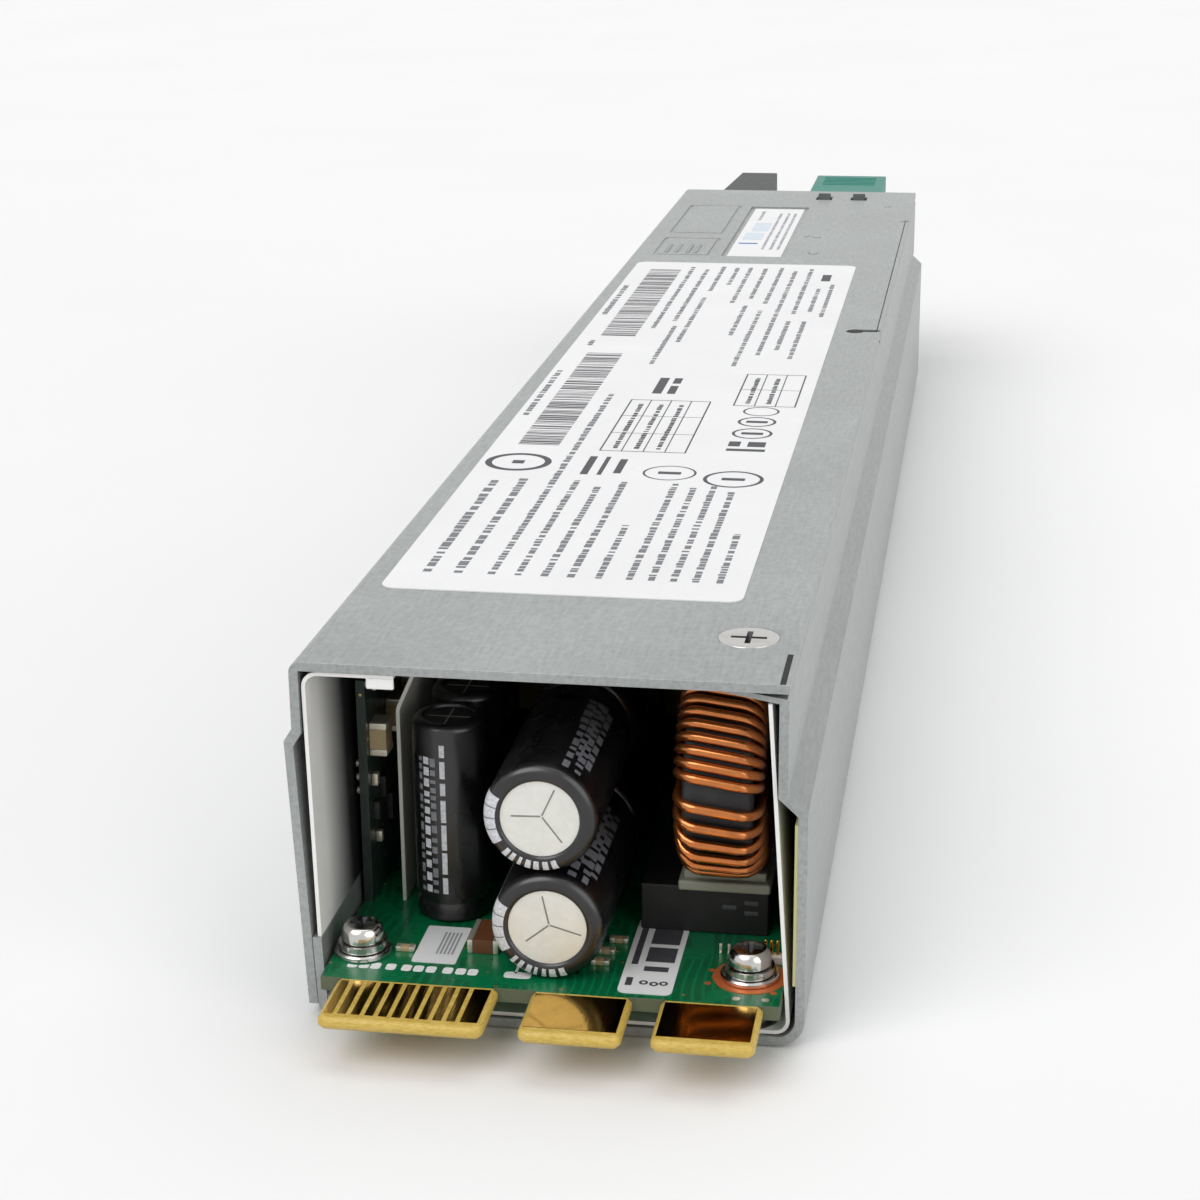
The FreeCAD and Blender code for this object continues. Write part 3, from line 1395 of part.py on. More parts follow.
def inlet_wires():
    """Insulated wires from the inlet's pins past the fan to the board."""
    line, neutral, earth = inlet_pin_spots()
    back = FAR - D.inlet_pin_back
    turn = FAR - D.wire_turn
    lane = HALF_TOP - D.wire_lane_inset
    top = D.board_top
    line_foot = BOARD_END - D.line_wire_inset
    neutral_foot = BOARD_END - D.neutral_wire_inset
    earth_foot = BOARD_END - D.earth_wire_inset
    line_height = line[1] - D.wire_dip
    routes = [
        [(line[0], back, line[1]), (line[0], turn, line[1]), (lane, turn, line_height),
         (lane, line_foot, line_height), (lane, line_foot, top)],
        [(neutral[0], back, neutral[1]), (neutral[0], neutral_foot, neutral[1]),
         (neutral[0], neutral_foot, top)],
        [(earth[0], back, earth[1]), (earth[0], turn, earth[1]), (lane, turn, earth[1]),
         (lane, earth_foot, earth[1]), (lane, earth_foot, top)],
    ]
    wires = []
    for route in routes:
        corners = [point(*corner) for corner in route]
        path = rounded_path(corners)
        ring = facet_ring(corners[0], corners[1] - corners[0], D.wire_radius.value)
        wires.append(path.makePipeShell([ring], True, False))
    item = DOC.addObject("Part::Feature", "inlet_wires")
    item.Shape = Part.makeCompound(wires)
    item.Placement = FreeCAD.Placement()
    return keep(item)


def face_panel():
    """Panel pan with honeycomb vent, inlet cut-out, lamp hole and latch notch."""
    panel = Body("face_panel")
    half = HALF_TOP - D.sheet - D.panel_gap
    low, high = D.sheet + D.panel_gap, UNDER_ROOF - D.panel_gap
    panel.add("Y", FAR - D.panel_flange, FAR, rectangle((-half, half), (low, high)))
    panel.cut("Y", FAR - D.panel_flange, FAR - D.sheet,
              rectangle((-half + D.sheet, half - D.sheet), (low + D.sheet, high + D.sheet)))
    x, z = INLET_X, INLET_Z
    half_x = D.inlet_body_width / 2 + D.cutout_gap
    half_z = D.inlet_body_height / 2 + D.cutout_gap
    panel.cut("Y", FAR - D.sheet, FAR, rectangle((x - half_x, x + half_x), (z - half_z, z + half_z)))
    panel.cut("Y", FAR - D.panel_flange, FAR,
              rectangle((LATCH_LEFT - D.notch_gap, LATCH_RIGHT + D.notch_gap),
                        (ROOF - D.notch_drop, ROOF)))
    panel.cut("Y", FAR - D.sheet, FAR,
              Disc(-(HALF_TOP - D.lamp_inset), ROOF - D.lamp_drop, D.lamp_radius + D.lap_gap),
              *[Disc(a, b, D.handle_screw_radius + D.screw_gap) for a, b in handle_screw_spots()])
    rise = D.cell_pitch * math.sqrt(3)
    left = -(HALF_TOP - D.cell_inset)
    cell = panel.cut("Y", FAR - D.sheet, FAR, hexagon(left, D.cell_low, D.cell_flat))
    panel.repeat(cell, (D.cell_columns, D.cell_pitch), (D.cell_rows, rise))
    between = panel.cut("Y", FAR - D.sheet, FAR,
                        hexagon(left + D.cell_pitch / 2, D.cell_low + rise / 2, D.cell_flat))
    panel.repeat(between, (D.cell_columns - 1, D.cell_pitch), (D.cell_rows - 1, rise))
    return keep(panel.item)


def status_lamp():
    """Light pipe seated in the panel."""
    start = (-(HALF_TOP - D.lamp_inset), FAR - D.lamp_length, ROOF - D.lamp_drop)
    return keep(rod("status_lamp", "Y", start, D.lamp_length + D.lamp_proud, D.lamp_radius))


def handle_screw_spots():
    """Centres of the two handle screws across X and Z."""
    x = (HANDLE_LEFT + HANDLE_RIGHT) / 2
    return [(x, D.handle_low + D.handle_arm / 2), (x, HANDLE_TOP - D.handle_arm / 2)]


def handle():
    """Moulded C-shaped handle that narrows towards its grip."""
    grip = Body("handle")
    tip = FAR + D.handle_reach
    inner = tip - D.handle_grip
    low, high = D.handle_low, HANDLE_TOP
    grip.add("X", HANDLE_LEFT, HANDLE_RIGHT, [
        (FAR, low), (tip, low), (tip, high), (FAR, high),
        (FAR, high - D.handle_arm), (inner, high - D.handle_arm),
        (inner, low + D.handle_arm), (FAR, low + D.handle_arm)])
    middle = (HANDLE_LEFT + HANDLE_RIGHT) / 2
    grip.round_edges(D.handle_round, [point(middle, tip, z) for z in (low, high)])
    grip.round_edges(D.finger_round, [point(middle, inner, z)
                                      for z in (low + D.handle_arm, high - D.handle_arm)])
    grip.cut("Z", low, high,
             [(HANDLE_LEFT, FAR), (HANDLE_LEFT + D.handle_left_taper * WIDE, tip), (HANDLE_LEFT, tip)],
             [(HANDLE_RIGHT, FAR), (HANDLE_RIGHT, tip), (HANDLE_RIGHT - D.handle_right_taper * WIDE, tip)])
    grip.cut("Y", FAR, FAR + D.handle_screw_length,
             *[Disc(x, z, D.handle_screw_radius + D.lap_gap) for x, z in handle_screw_spots()])
    keep(grip.item)
    screws = []
    for number, (x, z) in enumerate(handle_screw_spots()):
        back = FAR - D.sheet
        head = rod(f"handle_screw_head_{number}", "Y", (x, back - D.sheet * 2, z), D.sheet * 2,
                   D.handle_screw_head)
        shank = rod(f"handle_screw_shank_{number}", "Y", (x, back, z),
                    D.sheet + D.handle_screw_length - D.lap_gap, D.handle_screw_radius)
        screws.append(join(f"handle_screw_{number}", [head, shank]))
    keep(group("handle_screws", screws))


def latch():
    """Sprung lever whose two teeth stand in the cover's windows."""
    lever = Body("latch_lever")
    left, right = LATCH_LEFT, LATCH_RIGHT
    top, under = LATCH_TOP, LATCH_TOP - D.latch_sheet
    pivot_y, pivot_z = PIVOT
    tip = FAR + D.latch_reach
    step = FAR + D.latch_step_gap
    tail_top = ROOF - D.latch_tail_drop
    tail_under = tail_top - D.latch_tail_sheet
    lever.add("X", left, right, [
        (pivot_y, top), (pivot_y, under), (step, under), (step + D.latch_sheet, tail_under),
        (tip - D.latch_lip, tail_under), (tip - D.latch_lip, tail_top - D.latch_lip_drop),
        (tip, tail_top - D.latch_lip_drop), (tip, tail_top), (step, tail_top), (step, top)])
    lever.add("X", left, right, Disc(pivot_y, pivot_z, D.pivot_boss))
    lever.add("X", left, right, [
        (pivot_y - D.pivot_boss, pivot_z), (pivot_y + D.pivot_boss, pivot_z),
        (pivot_y + D.pivot_boss, top), (pivot_y - D.pivot_boss, top)])
    back = FAR - D.tooth_place
    crest = ROOF + D.tooth_proud
    for low, high in tooth_spans():
        lever.add("X", low, high, [
            (back, under), (back, crest), (back - D.tooth_crest, crest),
            (back - D.tooth_length, UNDER_ROOF), (back - D.tooth_length, under)])
    lever.cut("X", left, right, Disc(pivot_y, pivot_z, D.pivot_pin_radius + D.pivot_gap))
    keep(lever.item)


def latch_bracket():
    """Steel bracket under the cover: two ears for the pivot pin and a spring floor."""
    bracket = Body("latch_bracket")
    inner = (LATCH_LEFT - D.bracket_gap, LATCH_RIGHT + D.bracket_gap)
    outer = (inner[0] - D.bracket_sheet, inner[1] + D.bracket_sheet)
    front = FAR - D.bracket_front
    low = BRACKET_FLOOR
    pivot_y, pivot_z = PIVOT
    bracket.add("Z", low, low + D.bracket_sheet, rectangle(outer, (front, FAR - D.bracket_back)))
    for side in ((outer[0], inner[0]), (inner[1], outer[1])):
        bracket.add("X", *side, rectangle((front, front + D.bracket_ear), (low, UNDER_ROOF - D.lap_gap)))
    bracket.cut("X", *outer, Disc(pivot_y, pivot_z, D.pivot_pin_radius + D.pin_slot_gap))
    keep(bracket.item)
    keep(rod("latch_pin", "X", (outer[0] - D.bracket_gap, pivot_y, pivot_z),
             outer[1] - outer[0] + D.bracket_gap * 2, D.pivot_pin_radius))


def latch_spring():
    """Compression spring between the bracket's floor and the lever."""
    low = BRACKET_FLOOR + D.bracket_sheet + D.spring_gap + D.spring_wire
    high = LATCH_TOP - D.latch_sheet - D.spring_gap - D.spring_wire
    helix = Part.makeHelix(D.spring_pitch.value, high.value - low.value, D.spring_radius.value)
    start = FreeCAD.Vector(D.spring_radius.value, 0, 0)
    ring = facet_ring(start, FreeCAD.Vector(0, 1, 0), D.spring_wire.value)
    item = DOC.addObject("Part::Feature", "latch_spring")
    item.Shape = Part.Wire(helix).makePipeShell([ring], True, True)
    item.Placement = FreeCAD.Placement(point(latch_middle(), FAR - D.spring_place, low), FreeCAD.Rotation())
    return keep(item)


# --------------------------------------------------------------------- check and write


def build():
    """Make every sub-part in order."""
    base_tray()
    top_cover()
    cover_screw()
    labels()
    liner()
    side_tape()
    main_board()
    edge_contacts()
    board_fasteners()
    stickers()
    output_capacitors()
    post_capacitors()
    output_choke()
    control_card()
    screen_sheet()
    brown_chip()
    heat_sink("output_sink", "output_rectifiers", NEAR + D.output_sink_place, D.output_sink_length)
    heat_sink("mains_sink", "mains_switches", bay(D.bay_gap), D.mains_sink_length * MAINS)
    transformer()
    store_capacitor()
    mains_parts()
    fan_frame()
    fan_rotor()
    inlet()
    inlet_wires()
    face_panel()
    status_lamp()
    handle()
    latch()
    latch_bracket()
    latch_spring()


def check_document():
    """Stop before anything is written if an object failed or a shape is not sound."""
    DOC.recompute()
    for item in DOC.Objects:
        if {"Invalid", "Error"} & set(item.State):
            raise ValueError(f"{item.Name} failed: {item.State}")
    for item in PARTS:
        shape = item.Shape
        if shape.isNull() or not shape.isValid() or not shape.Solids:
            raise ValueError(f"{item.Label} has no sound shape")


def write_parts():
    os.makedirs("parts", exist_ok=True)
    for item in PARTS:
        item.Shape.exportStep(os.path.join("parts", f"{item.Label}.step"))
        print(f"{item.Label}: {len(item.Shape.Solids)} solids, {item.Shape.Volume:.1f} mm3")


build()
check_document()
write_parts()
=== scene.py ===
"""Hot swap server power supply: finishes, wound turns, capacitors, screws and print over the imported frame."""

import logging
import math
import random
from collections.abc import Iterable, Sequence
from dataclasses import dataclass
from enum import Enum

import bmesh
import bpy
from mathutils import Matrix, Vector
from mathutils.bvhtree import BVHTree


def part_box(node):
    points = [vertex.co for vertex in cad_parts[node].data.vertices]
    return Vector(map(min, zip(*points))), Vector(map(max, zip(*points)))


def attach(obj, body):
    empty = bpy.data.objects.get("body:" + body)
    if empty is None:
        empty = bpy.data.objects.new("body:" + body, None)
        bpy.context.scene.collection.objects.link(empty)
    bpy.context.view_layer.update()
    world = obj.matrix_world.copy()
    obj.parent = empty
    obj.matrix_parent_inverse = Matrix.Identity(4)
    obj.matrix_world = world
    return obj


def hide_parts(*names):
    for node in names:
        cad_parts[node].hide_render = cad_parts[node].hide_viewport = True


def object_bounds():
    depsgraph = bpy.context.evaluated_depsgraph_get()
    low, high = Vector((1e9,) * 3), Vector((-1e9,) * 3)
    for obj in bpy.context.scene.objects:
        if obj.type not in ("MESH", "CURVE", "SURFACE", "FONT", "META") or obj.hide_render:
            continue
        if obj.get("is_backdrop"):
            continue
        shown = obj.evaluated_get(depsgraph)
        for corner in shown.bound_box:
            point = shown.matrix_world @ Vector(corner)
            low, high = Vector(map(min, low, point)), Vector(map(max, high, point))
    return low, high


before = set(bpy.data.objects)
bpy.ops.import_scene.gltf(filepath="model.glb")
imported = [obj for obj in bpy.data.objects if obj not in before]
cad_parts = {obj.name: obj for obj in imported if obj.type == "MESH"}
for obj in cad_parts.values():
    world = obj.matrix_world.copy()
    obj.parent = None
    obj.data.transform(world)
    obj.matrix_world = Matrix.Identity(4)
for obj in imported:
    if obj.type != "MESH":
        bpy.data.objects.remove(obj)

LOG = logging.getLogger("power_supply")
MM = 0.001
TURN_SIDES = 56
SHARP = 50.0

Point = Sequence[float]
Shade = tuple[int, int, int]
Verts = list[bmesh.types.BMVert]


class Axis(Enum):
    """The three directions of the frame."""

    X = (1.0, 0.0, 0.0)
    Y = (0.0, 1.0, 0.0)
    Z = (0.0, 0.0, 1.0)

    @property
    def vector(self) -> Vector:
        """The direction as a vector."""
        return Vector(self.value)

    @property
    def turn(self) -> Matrix:
        """The turn that takes +Z to this direction."""
        return Vector((0.0, 0.0, 1.0)).rotation_difference(self.vector).to_matrix().to_4x4()


class Body(Enum):
    """The bodies that pieces ride on."""

    HOUSING = "housing"
    LATCH = "latch"


class Stretch(Enum):
    """How far a patch of print reaches on a lying capacitor's film."""

    WHOLE = "rim and side"
    RIM = "rim"
    SIDE = "side"


def linear(shade: Shade) -> tuple[float, float, float, float]:
    """Turn a colour written as three numbers up to 255 into linear light.

    Args:
        shade: Red, green and blue from 0 to 255.

    Returns:
        The colour in linear light, with full alpha.
    """
    parts = [part / 255.0 for part in shade]
    light = [part / 12.92 if part <= 0.04045 else ((part + 0.055) / 1.055) ** 2.4 for part in parts]
    return light[0], light[1], light[2], 1.0


# ------------------------------------------------------------------- shader arithmetic


class Term:
    """One output socket of a node, with arithmetic that adds Math nodes."""

    def __init__(self, graph: "Graph", socket: bpy.types.NodeSocket) -> None:
        """Keep the socket and the graph that it belongs to."""
        self.graph = graph
        self.socket = socket

    def math(self, operation: str, *others: "Value", swap: bool = False) -> "Term":
        """Add a Math node.

        Args:
            operation: The node's operation.
            others: The other operands.
            swap: Whether this term is the second operand.

        Returns:
            The node's result.
        """
        operands: list[Value] = [self, *others]
        if swap:
            operands.reverse()
        return self.graph.term("ShaderNodeMath", {"operation": operation}, dict(enumerate(operands)))

    def __add__(self, other: "Value") -> "Term":
        """Add."""
        return self.math("ADD", other)

    __radd__ = __add__

    def __mul__(self, other: "Value") -> "Term":
        """Multiply."""
        return self.math("MULTIPLY", other)

    __rmul__ = __mul__

    def __sub__(self, other: "Value") -> "Term":
        """Subtract."""
        return self.math("SUBTRACT", other)

    def __rsub__(self, other: "Value") -> "Term":
        """Subtract this from another."""
        return self.math("SUBTRACT", other, swap=True)

    def __gt__(self, other: "Value") -> "Term":
        """One where this is the larger, otherwise zero."""
        return self.math("GREATER_THAN", other)

    def __lt__(self, other: "Value") -> "Term":
        """One where this is the smaller, otherwise zero."""
        return self.math("LESS_THAN", other)

    def fraction(self) -> "Term":
        """What is left over the last whole number."""
        return self.math("FRACT")

    def least(self, other: "Value") -> "Term":
        """The smaller of the two."""
        return self.math("MINIMUM", other)

    def most(self, other: "Value") -> "Term":
        """The larger of the two."""
        return self.math("MAXIMUM", other)

    def within(self, low: float, high: float) -> "Term":
        """One between two limits, otherwise zero."""
        return (self > low) * (self < high)

    def span(self, low: float, high: float, start: float = 0.0, end: float = 1.0) -> "Term":
        """Stretch a range to another and stop at its ends.

        Args:
            low: Where the range starts.
            high: Where the range ends.
            start: The result at the start.
            end: The result at the end.

        Returns:
            The stretched value.
        """
        return self.graph.term("ShaderNodeMapRange", {"clamp": True},
                               {0: self, 1: low, 2: high, 3: start, 4: end})


Value = Term | float | Sequence[float]


class Graph:
    """A material's nodes, from Object coordinates in millimetres to one shader."""

    def __init__(self, name: str) -> None:
        """Start a material with an empty shader and its output.

        Args:
            name: The material's name.
        """
        self.material = bpy.data.materials.new(name)
        self.material.use_nodes = True
        self.tree = self.material.node_tree
        self.tree.nodes.clear()
        output = self.add("ShaderNodeOutputMaterial")
        self.shader = self.add("ShaderNodeBsdfPrincipled")
        self.tree.links.new(self.shader.outputs[0], output.inputs[0])
        place = self.term("ShaderNodeTexCoord", output="Object")
        self.place = self.term("ShaderNodeVectorMath", {"operation": "SCALE"},
                               {0: place, "Scale": 1.0 / MM})

    def add(self, kind: str, settings: dict[str, object] | None = None,
            inputs: dict[int | str, Value] | None = None) -> bpy.types.Node:
        """Add a node.

        Args:
            kind: The node's type.
            settings: Its properties, set before its inputs.
            inputs: Its sockets by name or number, each a term or a plain value.

        Returns:
            The node.
        """
        node = self.tree.nodes.new(kind)
        for name, value in (settings or {}).items():
            setattr(node, name, value)
        for name, value in (inputs or {}).items():
            if isinstance(value, Term):
                self.tree.links.new(value.socket, node.inputs[name])
            else:
                node.inputs[name].default_value = value
        return node

    def term(self, kind: str, settings: dict[str, object] | None = None,
             inputs: dict[int | str, Value] | None = None, output: int | str = 0) -> Term:
        """Add a node and return one of its outputs.

        Args:
            kind: The node's type.
            settings: Its properties, set before its inputs.
            inputs: Its sockets by name or number, each a term or a plain value.
            output: The output's name or number.

        Returns:
            The output.
        """
        return Term(self, self.add(kind, settings, inputs).outputs[output])

    def axes(self) -> list[Term]:
        """The place across, along and up, in millimetres."""
        node = self.add("ShaderNodeSeparateXYZ", None, {0: self.place})
        return [Term(self, socket) for socket in node.outputs]

    def stretched(self, factors: Point) -> Term:
        """The place with each direction multiplied by its own factor."""
        return self.term("ShaderNodeVectorMath", {"operation": "MULTIPLY"},
                         {0: self.place, 1: factors})

    def noise(self, scale: float, detail: float = 2.0, vector: Term | None = None) -> Term:
        """Soft noise from 0 to 1.

        Args:
            scale: Waves per millimetre.
            detail: Octaves of finer noise.
            vector: Coordinates, the place if none are given.

        Returns:
            The noise.
        """
        return self.term("ShaderNodeTexNoise", None,
                         {"Vector": vector or self.place, "Scale": scale, "Detail": detail})

    def cells(self, scale: float, feature: str = "F1") -> Term:
        """The distance to the nearest cell of random shape.

        Args:
            scale: Cells per millimetre.
            feature: The Voronoi feature.

        Returns:
            The distance.
        """
        return self.term("ShaderNodeTexVoronoi", {"feature": feature},
                         {"Vector": self.place, "Scale": scale}, "Distance")

    def mix(self, factor: Value, first: Value, second: Value) -> Term:
        """Blend two colours.

        Args:
            factor: How much of the second.
            first: The colour at 0.
            second: The colour at 1.

        Returns:
            The blend.
        """
        return self.term("ShaderNodeMix", {"data_type": "RGBA"}, {0: factor, 6: first, 7: second}, 2)

    def bump(self, height: Term, depth: float) -> Term:
        """A normal from a height of 0 to 1.

        Args:
            height: The height.
            depth: Millimetres from 0 to 1.

        Returns:
            The normal.
        """
        return self.term("ShaderNodeBump", None,
                         {"Strength": 1.0, "Distance": depth * MM, "Height": height})

    def shade(self, **values: Value) -> None:
        """Set or link the shader's sockets, with underscores for the spaces in their names."""
        for name, value in values.items():
            socket = self.shader.inputs[name.replace("_", " ")]
            if isinstance(value, Term):
                self.tree.links.new(value.socket, socket)
            else:
                socket.default_value = value


# --------------------------------------------------------------------------- finishes


@dataclass(frozen=True)
class Finish:
    """A named finish, drawn once and shared by the pieces that have it."""

    name: str
    colour: Shade
    roughness: float = 0.5

    def draw(self, graph: Graph) -> None:
        """Draw the finish on a new graph.

        Args:
            graph: The graph to draw on.
        """
        raise NotImplementedError

    def tinted(self, share: float) -> tuple[float, float, float, float]:
        """The finish's colour, lighter above 1 and darker below it."""
        red, green, blue, alpha = linear(self.colour)
        return min(red * share, 1.0), min(green * share, 1.0), min(blue * share, 1.0), alpha

    def gloss_of(self, wear: Term, less: float, more: float) -> Term:
        """The roughness, a little less where wear is low and a little more where it is high."""
        return wear.span(0.3, 0.7, self.roughness - less, self.roughness + more)

    def material(self) -> bpy.types.Material:
        """The finish's material, made the first time that it is asked for."""
        made = bpy.data.materials.get(self.name)
        if made is None:
            graph = Graph(self.name)
            self.draw(graph)
            made = graph.material
        return made


@dataclass(frozen=True)
class SheetSteel(Finish):
    """Galvanised sheet: faint rolled grain, fine spangle and dull smears."""

    metallic: float = 0.5
    spangle: float = 1.3

    def draw(self, graph: Graph) -> None:
        """Mix spangle, grain and smears into colour, gloss and relief.

        Args:
            graph: The graph to draw on.
        """
        rolled = graph.noise(1.0, 4.0, graph.stretched((2.6, 0.24, 2.6)))
        flecks = graph.cells(self.spangle)
        fine = graph.noise(5.5, 3.0)
        smear = graph.noise(0.045, 3.0)
        tone = (rolled * 0.45 + flecks * 0.2 + fine * 0.25 + smear * 0.35).span(0.42, 0.82)
        graph.shade(
            Base_Color=graph.mix(tone, self.tinted(0.78), self.tinted(1.16)),
            Metallic=self.metallic,
            Roughness=(fine * 0.12 + smear * 0.22).span(0.08, 0.28, self.roughness - 0.1,
                                                       self.roughness + 0.12),
            Normal=graph.bump(fine * 0.5 + flecks * 0.3 + rolled * 0.3, 0.012),
        )


@dataclass(frozen=True)
class Plated(Finish):
    """Plated or bare metal: streaks from forming, dull patches and tarnish."""

    metallic: float = 1.0
    streaks: tuple[float, float, float] = (3.0, 3.0, 3.0)
    tarnish: Shade = (110, 100, 90)
    worn: float = 0.35
    coat: float = 0.0

    def draw(self, graph: Graph) -> None:
        """Mix streaks and tarnish into colour, gloss and relief.

        Args:
            graph: The graph to draw on.
        """
        streak = graph.noise(1.0, 3.0, graph.stretched(self.streaks))
        patch = graph.noise(0.6, 3.0)
        dirt = (patch * 0.7 + streak * 0.4).span(0.55, 0.85, 0.0, self.worn)
        graph.shade(
            Base_Color=graph.mix(dirt, graph.mix(streak, self.tinted(0.88), self.tinted(1.1)),
                                 linear(self.tarnish)),
            Metallic=self.metallic,
            Roughness=(streak * 0.6 + patch * 0.5).span(0.3, 0.8, self.roughness * 0.75,
                                                        self.roughness * 1.4),
            Normal=graph.bump(streak * 0.7 + patch * 0.3, 0.01),
            Coat_Weight=self.coat,
            Coat_Roughness=0.12,
        )


@dataclass(frozen=True)
class Moulded(Finish):
    """Moulded plastic or ceramic: eroded grain, faint flow marks and dust."""

    grain: float = 3.2
    relief: float = 0.02
    dust: float = 0.06
    dust_shade: Shade = (205, 203, 196)
    coat: float = 0.0

    def draw(self, graph: Graph) -> None:
        """Mix mould grain, flow marks and dust into colour, gloss and relief.

        Args:
            graph: The graph to draw on.
        """
        grain = graph.cells(self.grain, "SMOOTH_F1")
        fine = graph.noise(self.grain * 1.7, 2.0)
        flow = graph.noise(0.12, 4.0)
        dust = (graph.noise(0.5, 5.0) * flow).span(0.22, 0.5, 0.0, self.dust)
        graph.shade(
            Base_Color=graph.mix(dust, graph.mix(flow, self.tinted(0.9), self.tinted(1.12)),
                                 linear(self.dust_shade)),
            Roughness=self.gloss_of(flow * 0.5 + fine * 0.5, 0.06, 0.1),
            Normal=graph.bump(grain * 0.6 + fine * 0.4, self.relief),
            Coat_Weight=self.coat,
            Coat_Roughness=0.1,
        )


@dataclass(frozen=True)
class Paper(Finish):
    """Coated label stock: paper fibre, handling marks and a faint film."""

    def draw(self, graph: Graph) -> None:
        """Mix fibre and marks into colour, gloss and relief.

        Args:
            graph: The graph to draw on.
        """
        fibre = graph.noise(2.2, 5.0, graph.stretched((1.0, 0.35, 1.0)))
        marks = graph.noise(0.07, 4.0)
        graph.shade(
            Base_Color=graph.mix((fibre * 0.3 + marks * 0.7).span(0.3, 0.7), self.tinted(0.955),
                                 self.tinted(1.02)),
            Roughness=self.gloss_of(fibre * 0.4 + marks * 0.6, 0.08, 0.08),
            Normal=graph.bump(fibre * 0.5 + marks * 0.5, 0.012),
            Specular_IOR_Level=0.35,
        )


@dataclass(frozen=True)
class Ink(Finish):
    """Printed ink: slightly broken coverage."""

    def draw(self, graph: Graph) -> None:
        """Mix broken coverage into the colour.

        Args:
            graph: The graph to draw on.
        """
        broken = graph.noise(3.5, 4.0)
        graph.shade(Base_Color=graph.mix(broken.span(0.3, 0.75), self.tinted(0.85), self.tinted(1.4)),
                    Roughness=self.gloss_of(broken, 0.05, 0.1))


@dataclass(frozen=True)
class BoardMask(Finish):
    """Circuit board: solder mask over traces and planes, vias, bare laminate at the edges."""

    top: float = 6.0
    thick: float = 1.58
    skin: float = 0.02
    tab: float = -158.05
    bare: Shade = (190, 156, 56)
    gilt: Shade = (214, 186, 96)
    cut: Shade = (84, 92, 66)
    via: Shade = (214, 186, 110)
    # Painted shade: the near-black colour of the via holes stands in for the shade inside them.
    hole: Shade = (14, 20, 14)

    def draw(self, graph: Graph) -> None:
        """Draw planes, traces and vias on the faces and laminate on the edges.

        Args:
            graph: The graph to draw on.
        """
        across, along, up = graph.axes()
        plane = graph.noise(0.22, 1.0).span(0.47, 0.5)
        traces = (((across + graph.noise(0.08, 0.0) * 6.0) * 0.9).fraction().within(0.3, 0.62)
                  * (1.0 - plane))
        spots = graph.cells(0.42)
        pads = spots < 0.09
        holes = spots < 0.04
        weave = graph.noise(1.6, 2.0, graph.stretched((1.0, 1.0, 6.0)))
        copper = (plane * 0.8 + traces).least(1.0)
        mask = graph.mix(copper, self.tinted(0.82), self.tinted(1.25))
        # Painted shade in the via holes; the bump below also dents them.
        face = graph.mix(holes, graph.mix(pads, mask, linear(self.via)), linear(self.hole))
        rim = up.within(self.top - self.thick, self.top - self.skin).most(along < self.tab)
        gilt = graph.mix(weave.span(0.3, 0.7), linear(self.bare), linear(self.gilt))
        edge = graph.mix(along < self.tab, linear(self.cut), gilt)
        graph.shade(
            Base_Color=graph.mix(rim, face, edge),
            Metallic=pads * (1.0 - holes) * (1.0 - rim) * 0.8,
            Roughness=self.gloss_of(graph.noise(0.7, 3.0), 0.06, 0.1) + rim * 0.3,
            Normal=graph.bump(copper * 0.8 + pads - holes * 2.0 + weave * 0.15, 0.02),
            Coat_Weight=0.3,
            Coat_Roughness=0.15,
        )


@dataclass(frozen=True)
class Insulation(Finish):
    """Insulating sheet with fibre and handling marks, and painted shade: bright at its open end, dark further
    in.
    """

    # Painted shade: between these two places along the sheet its colour runs from its own to dark grey.
    shade_start: float = -150.5
    shade_full: float = -141.0
    shade_colour: Shade = (30, 31, 33)

    def draw(self, graph: Graph) -> None:
        """Mix the painted shade along the sheet, fibre and marks into colour, gloss and relief.

        Args:
            graph: The graph to draw on.
        """
        along = graph.axes()[1]
        fibre = graph.noise(1.6, 5.0, graph.stretched((1.0, 0.3, 1.0)))
        marks = graph.noise(0.09, 4.0)
        sheet = graph.mix((fibre * 0.3 + marks * 0.7).span(0.3, 0.7), self.tinted(0.93),
                          self.tinted(1.03))
        # Painted shade: the sheet turns dark grey further in along its length.
        graph.shade(
            Base_Color=graph.mix(along.span(self.shade_start, self.shade_full), sheet,
                                 linear(self.shade_colour)),
            Roughness=self.gloss_of(fibre * 0.4 + marks * 0.6, 0.08, 0.1),
            Normal=graph.bump(fibre * 0.6 + marks * 0.4, 0.015),
        )


@dataclass(frozen=True)
class Sleeve(Finish):
    """Shrink film on a capacitor: shrink ripples and rubbed gloss."""

    def draw(self, graph: Graph) -> None:
        """Mix ripples and rubs into colour, gloss and relief.

        Args:
            graph: The graph to draw on.
        """
        ripple = graph.noise(0.8, 3.0, graph.stretched((1.0, 0.3, 1.0)))
        rub = graph.noise(0.3, 5.0)
        graph.shade(
            Base_Color=graph.mix(rub.span(0.45, 0.75), self.tinted(0.8), self.tinted(1.9)),
            Roughness=self.gloss_of(rub * 0.6 + ripple * 0.4, 0.05, 0.15),
            Normal=graph.bump(ripple * 0.7 + rub * 0.3, 0.03),
            Coat_Weight=0.35,
            Coat_Roughness=0.18,
        )


@dataclass(frozen=True)
class Clear(Finish):
    """Clear plastic or glass: faint haze, scuffs and moulding swirl."""

    depth: float = 0.9

    def draw(self, graph: Graph) -> None:
        """Mix haze into colour and gloss and let the light through.

        Args:
            graph: The graph to draw on.
        """
        haze = graph.noise(0.8, 4.0)
        graph.shade(
            Base_Color=graph.mix(haze, self.tinted(0.92), self.tinted(1.05)),
            Roughness=self.gloss_of(haze, 0.0, 0.12),
            Normal=graph.bump(haze, 0.01),
            Transmission_Weight=self.depth,
            IOR=1.49,
        )


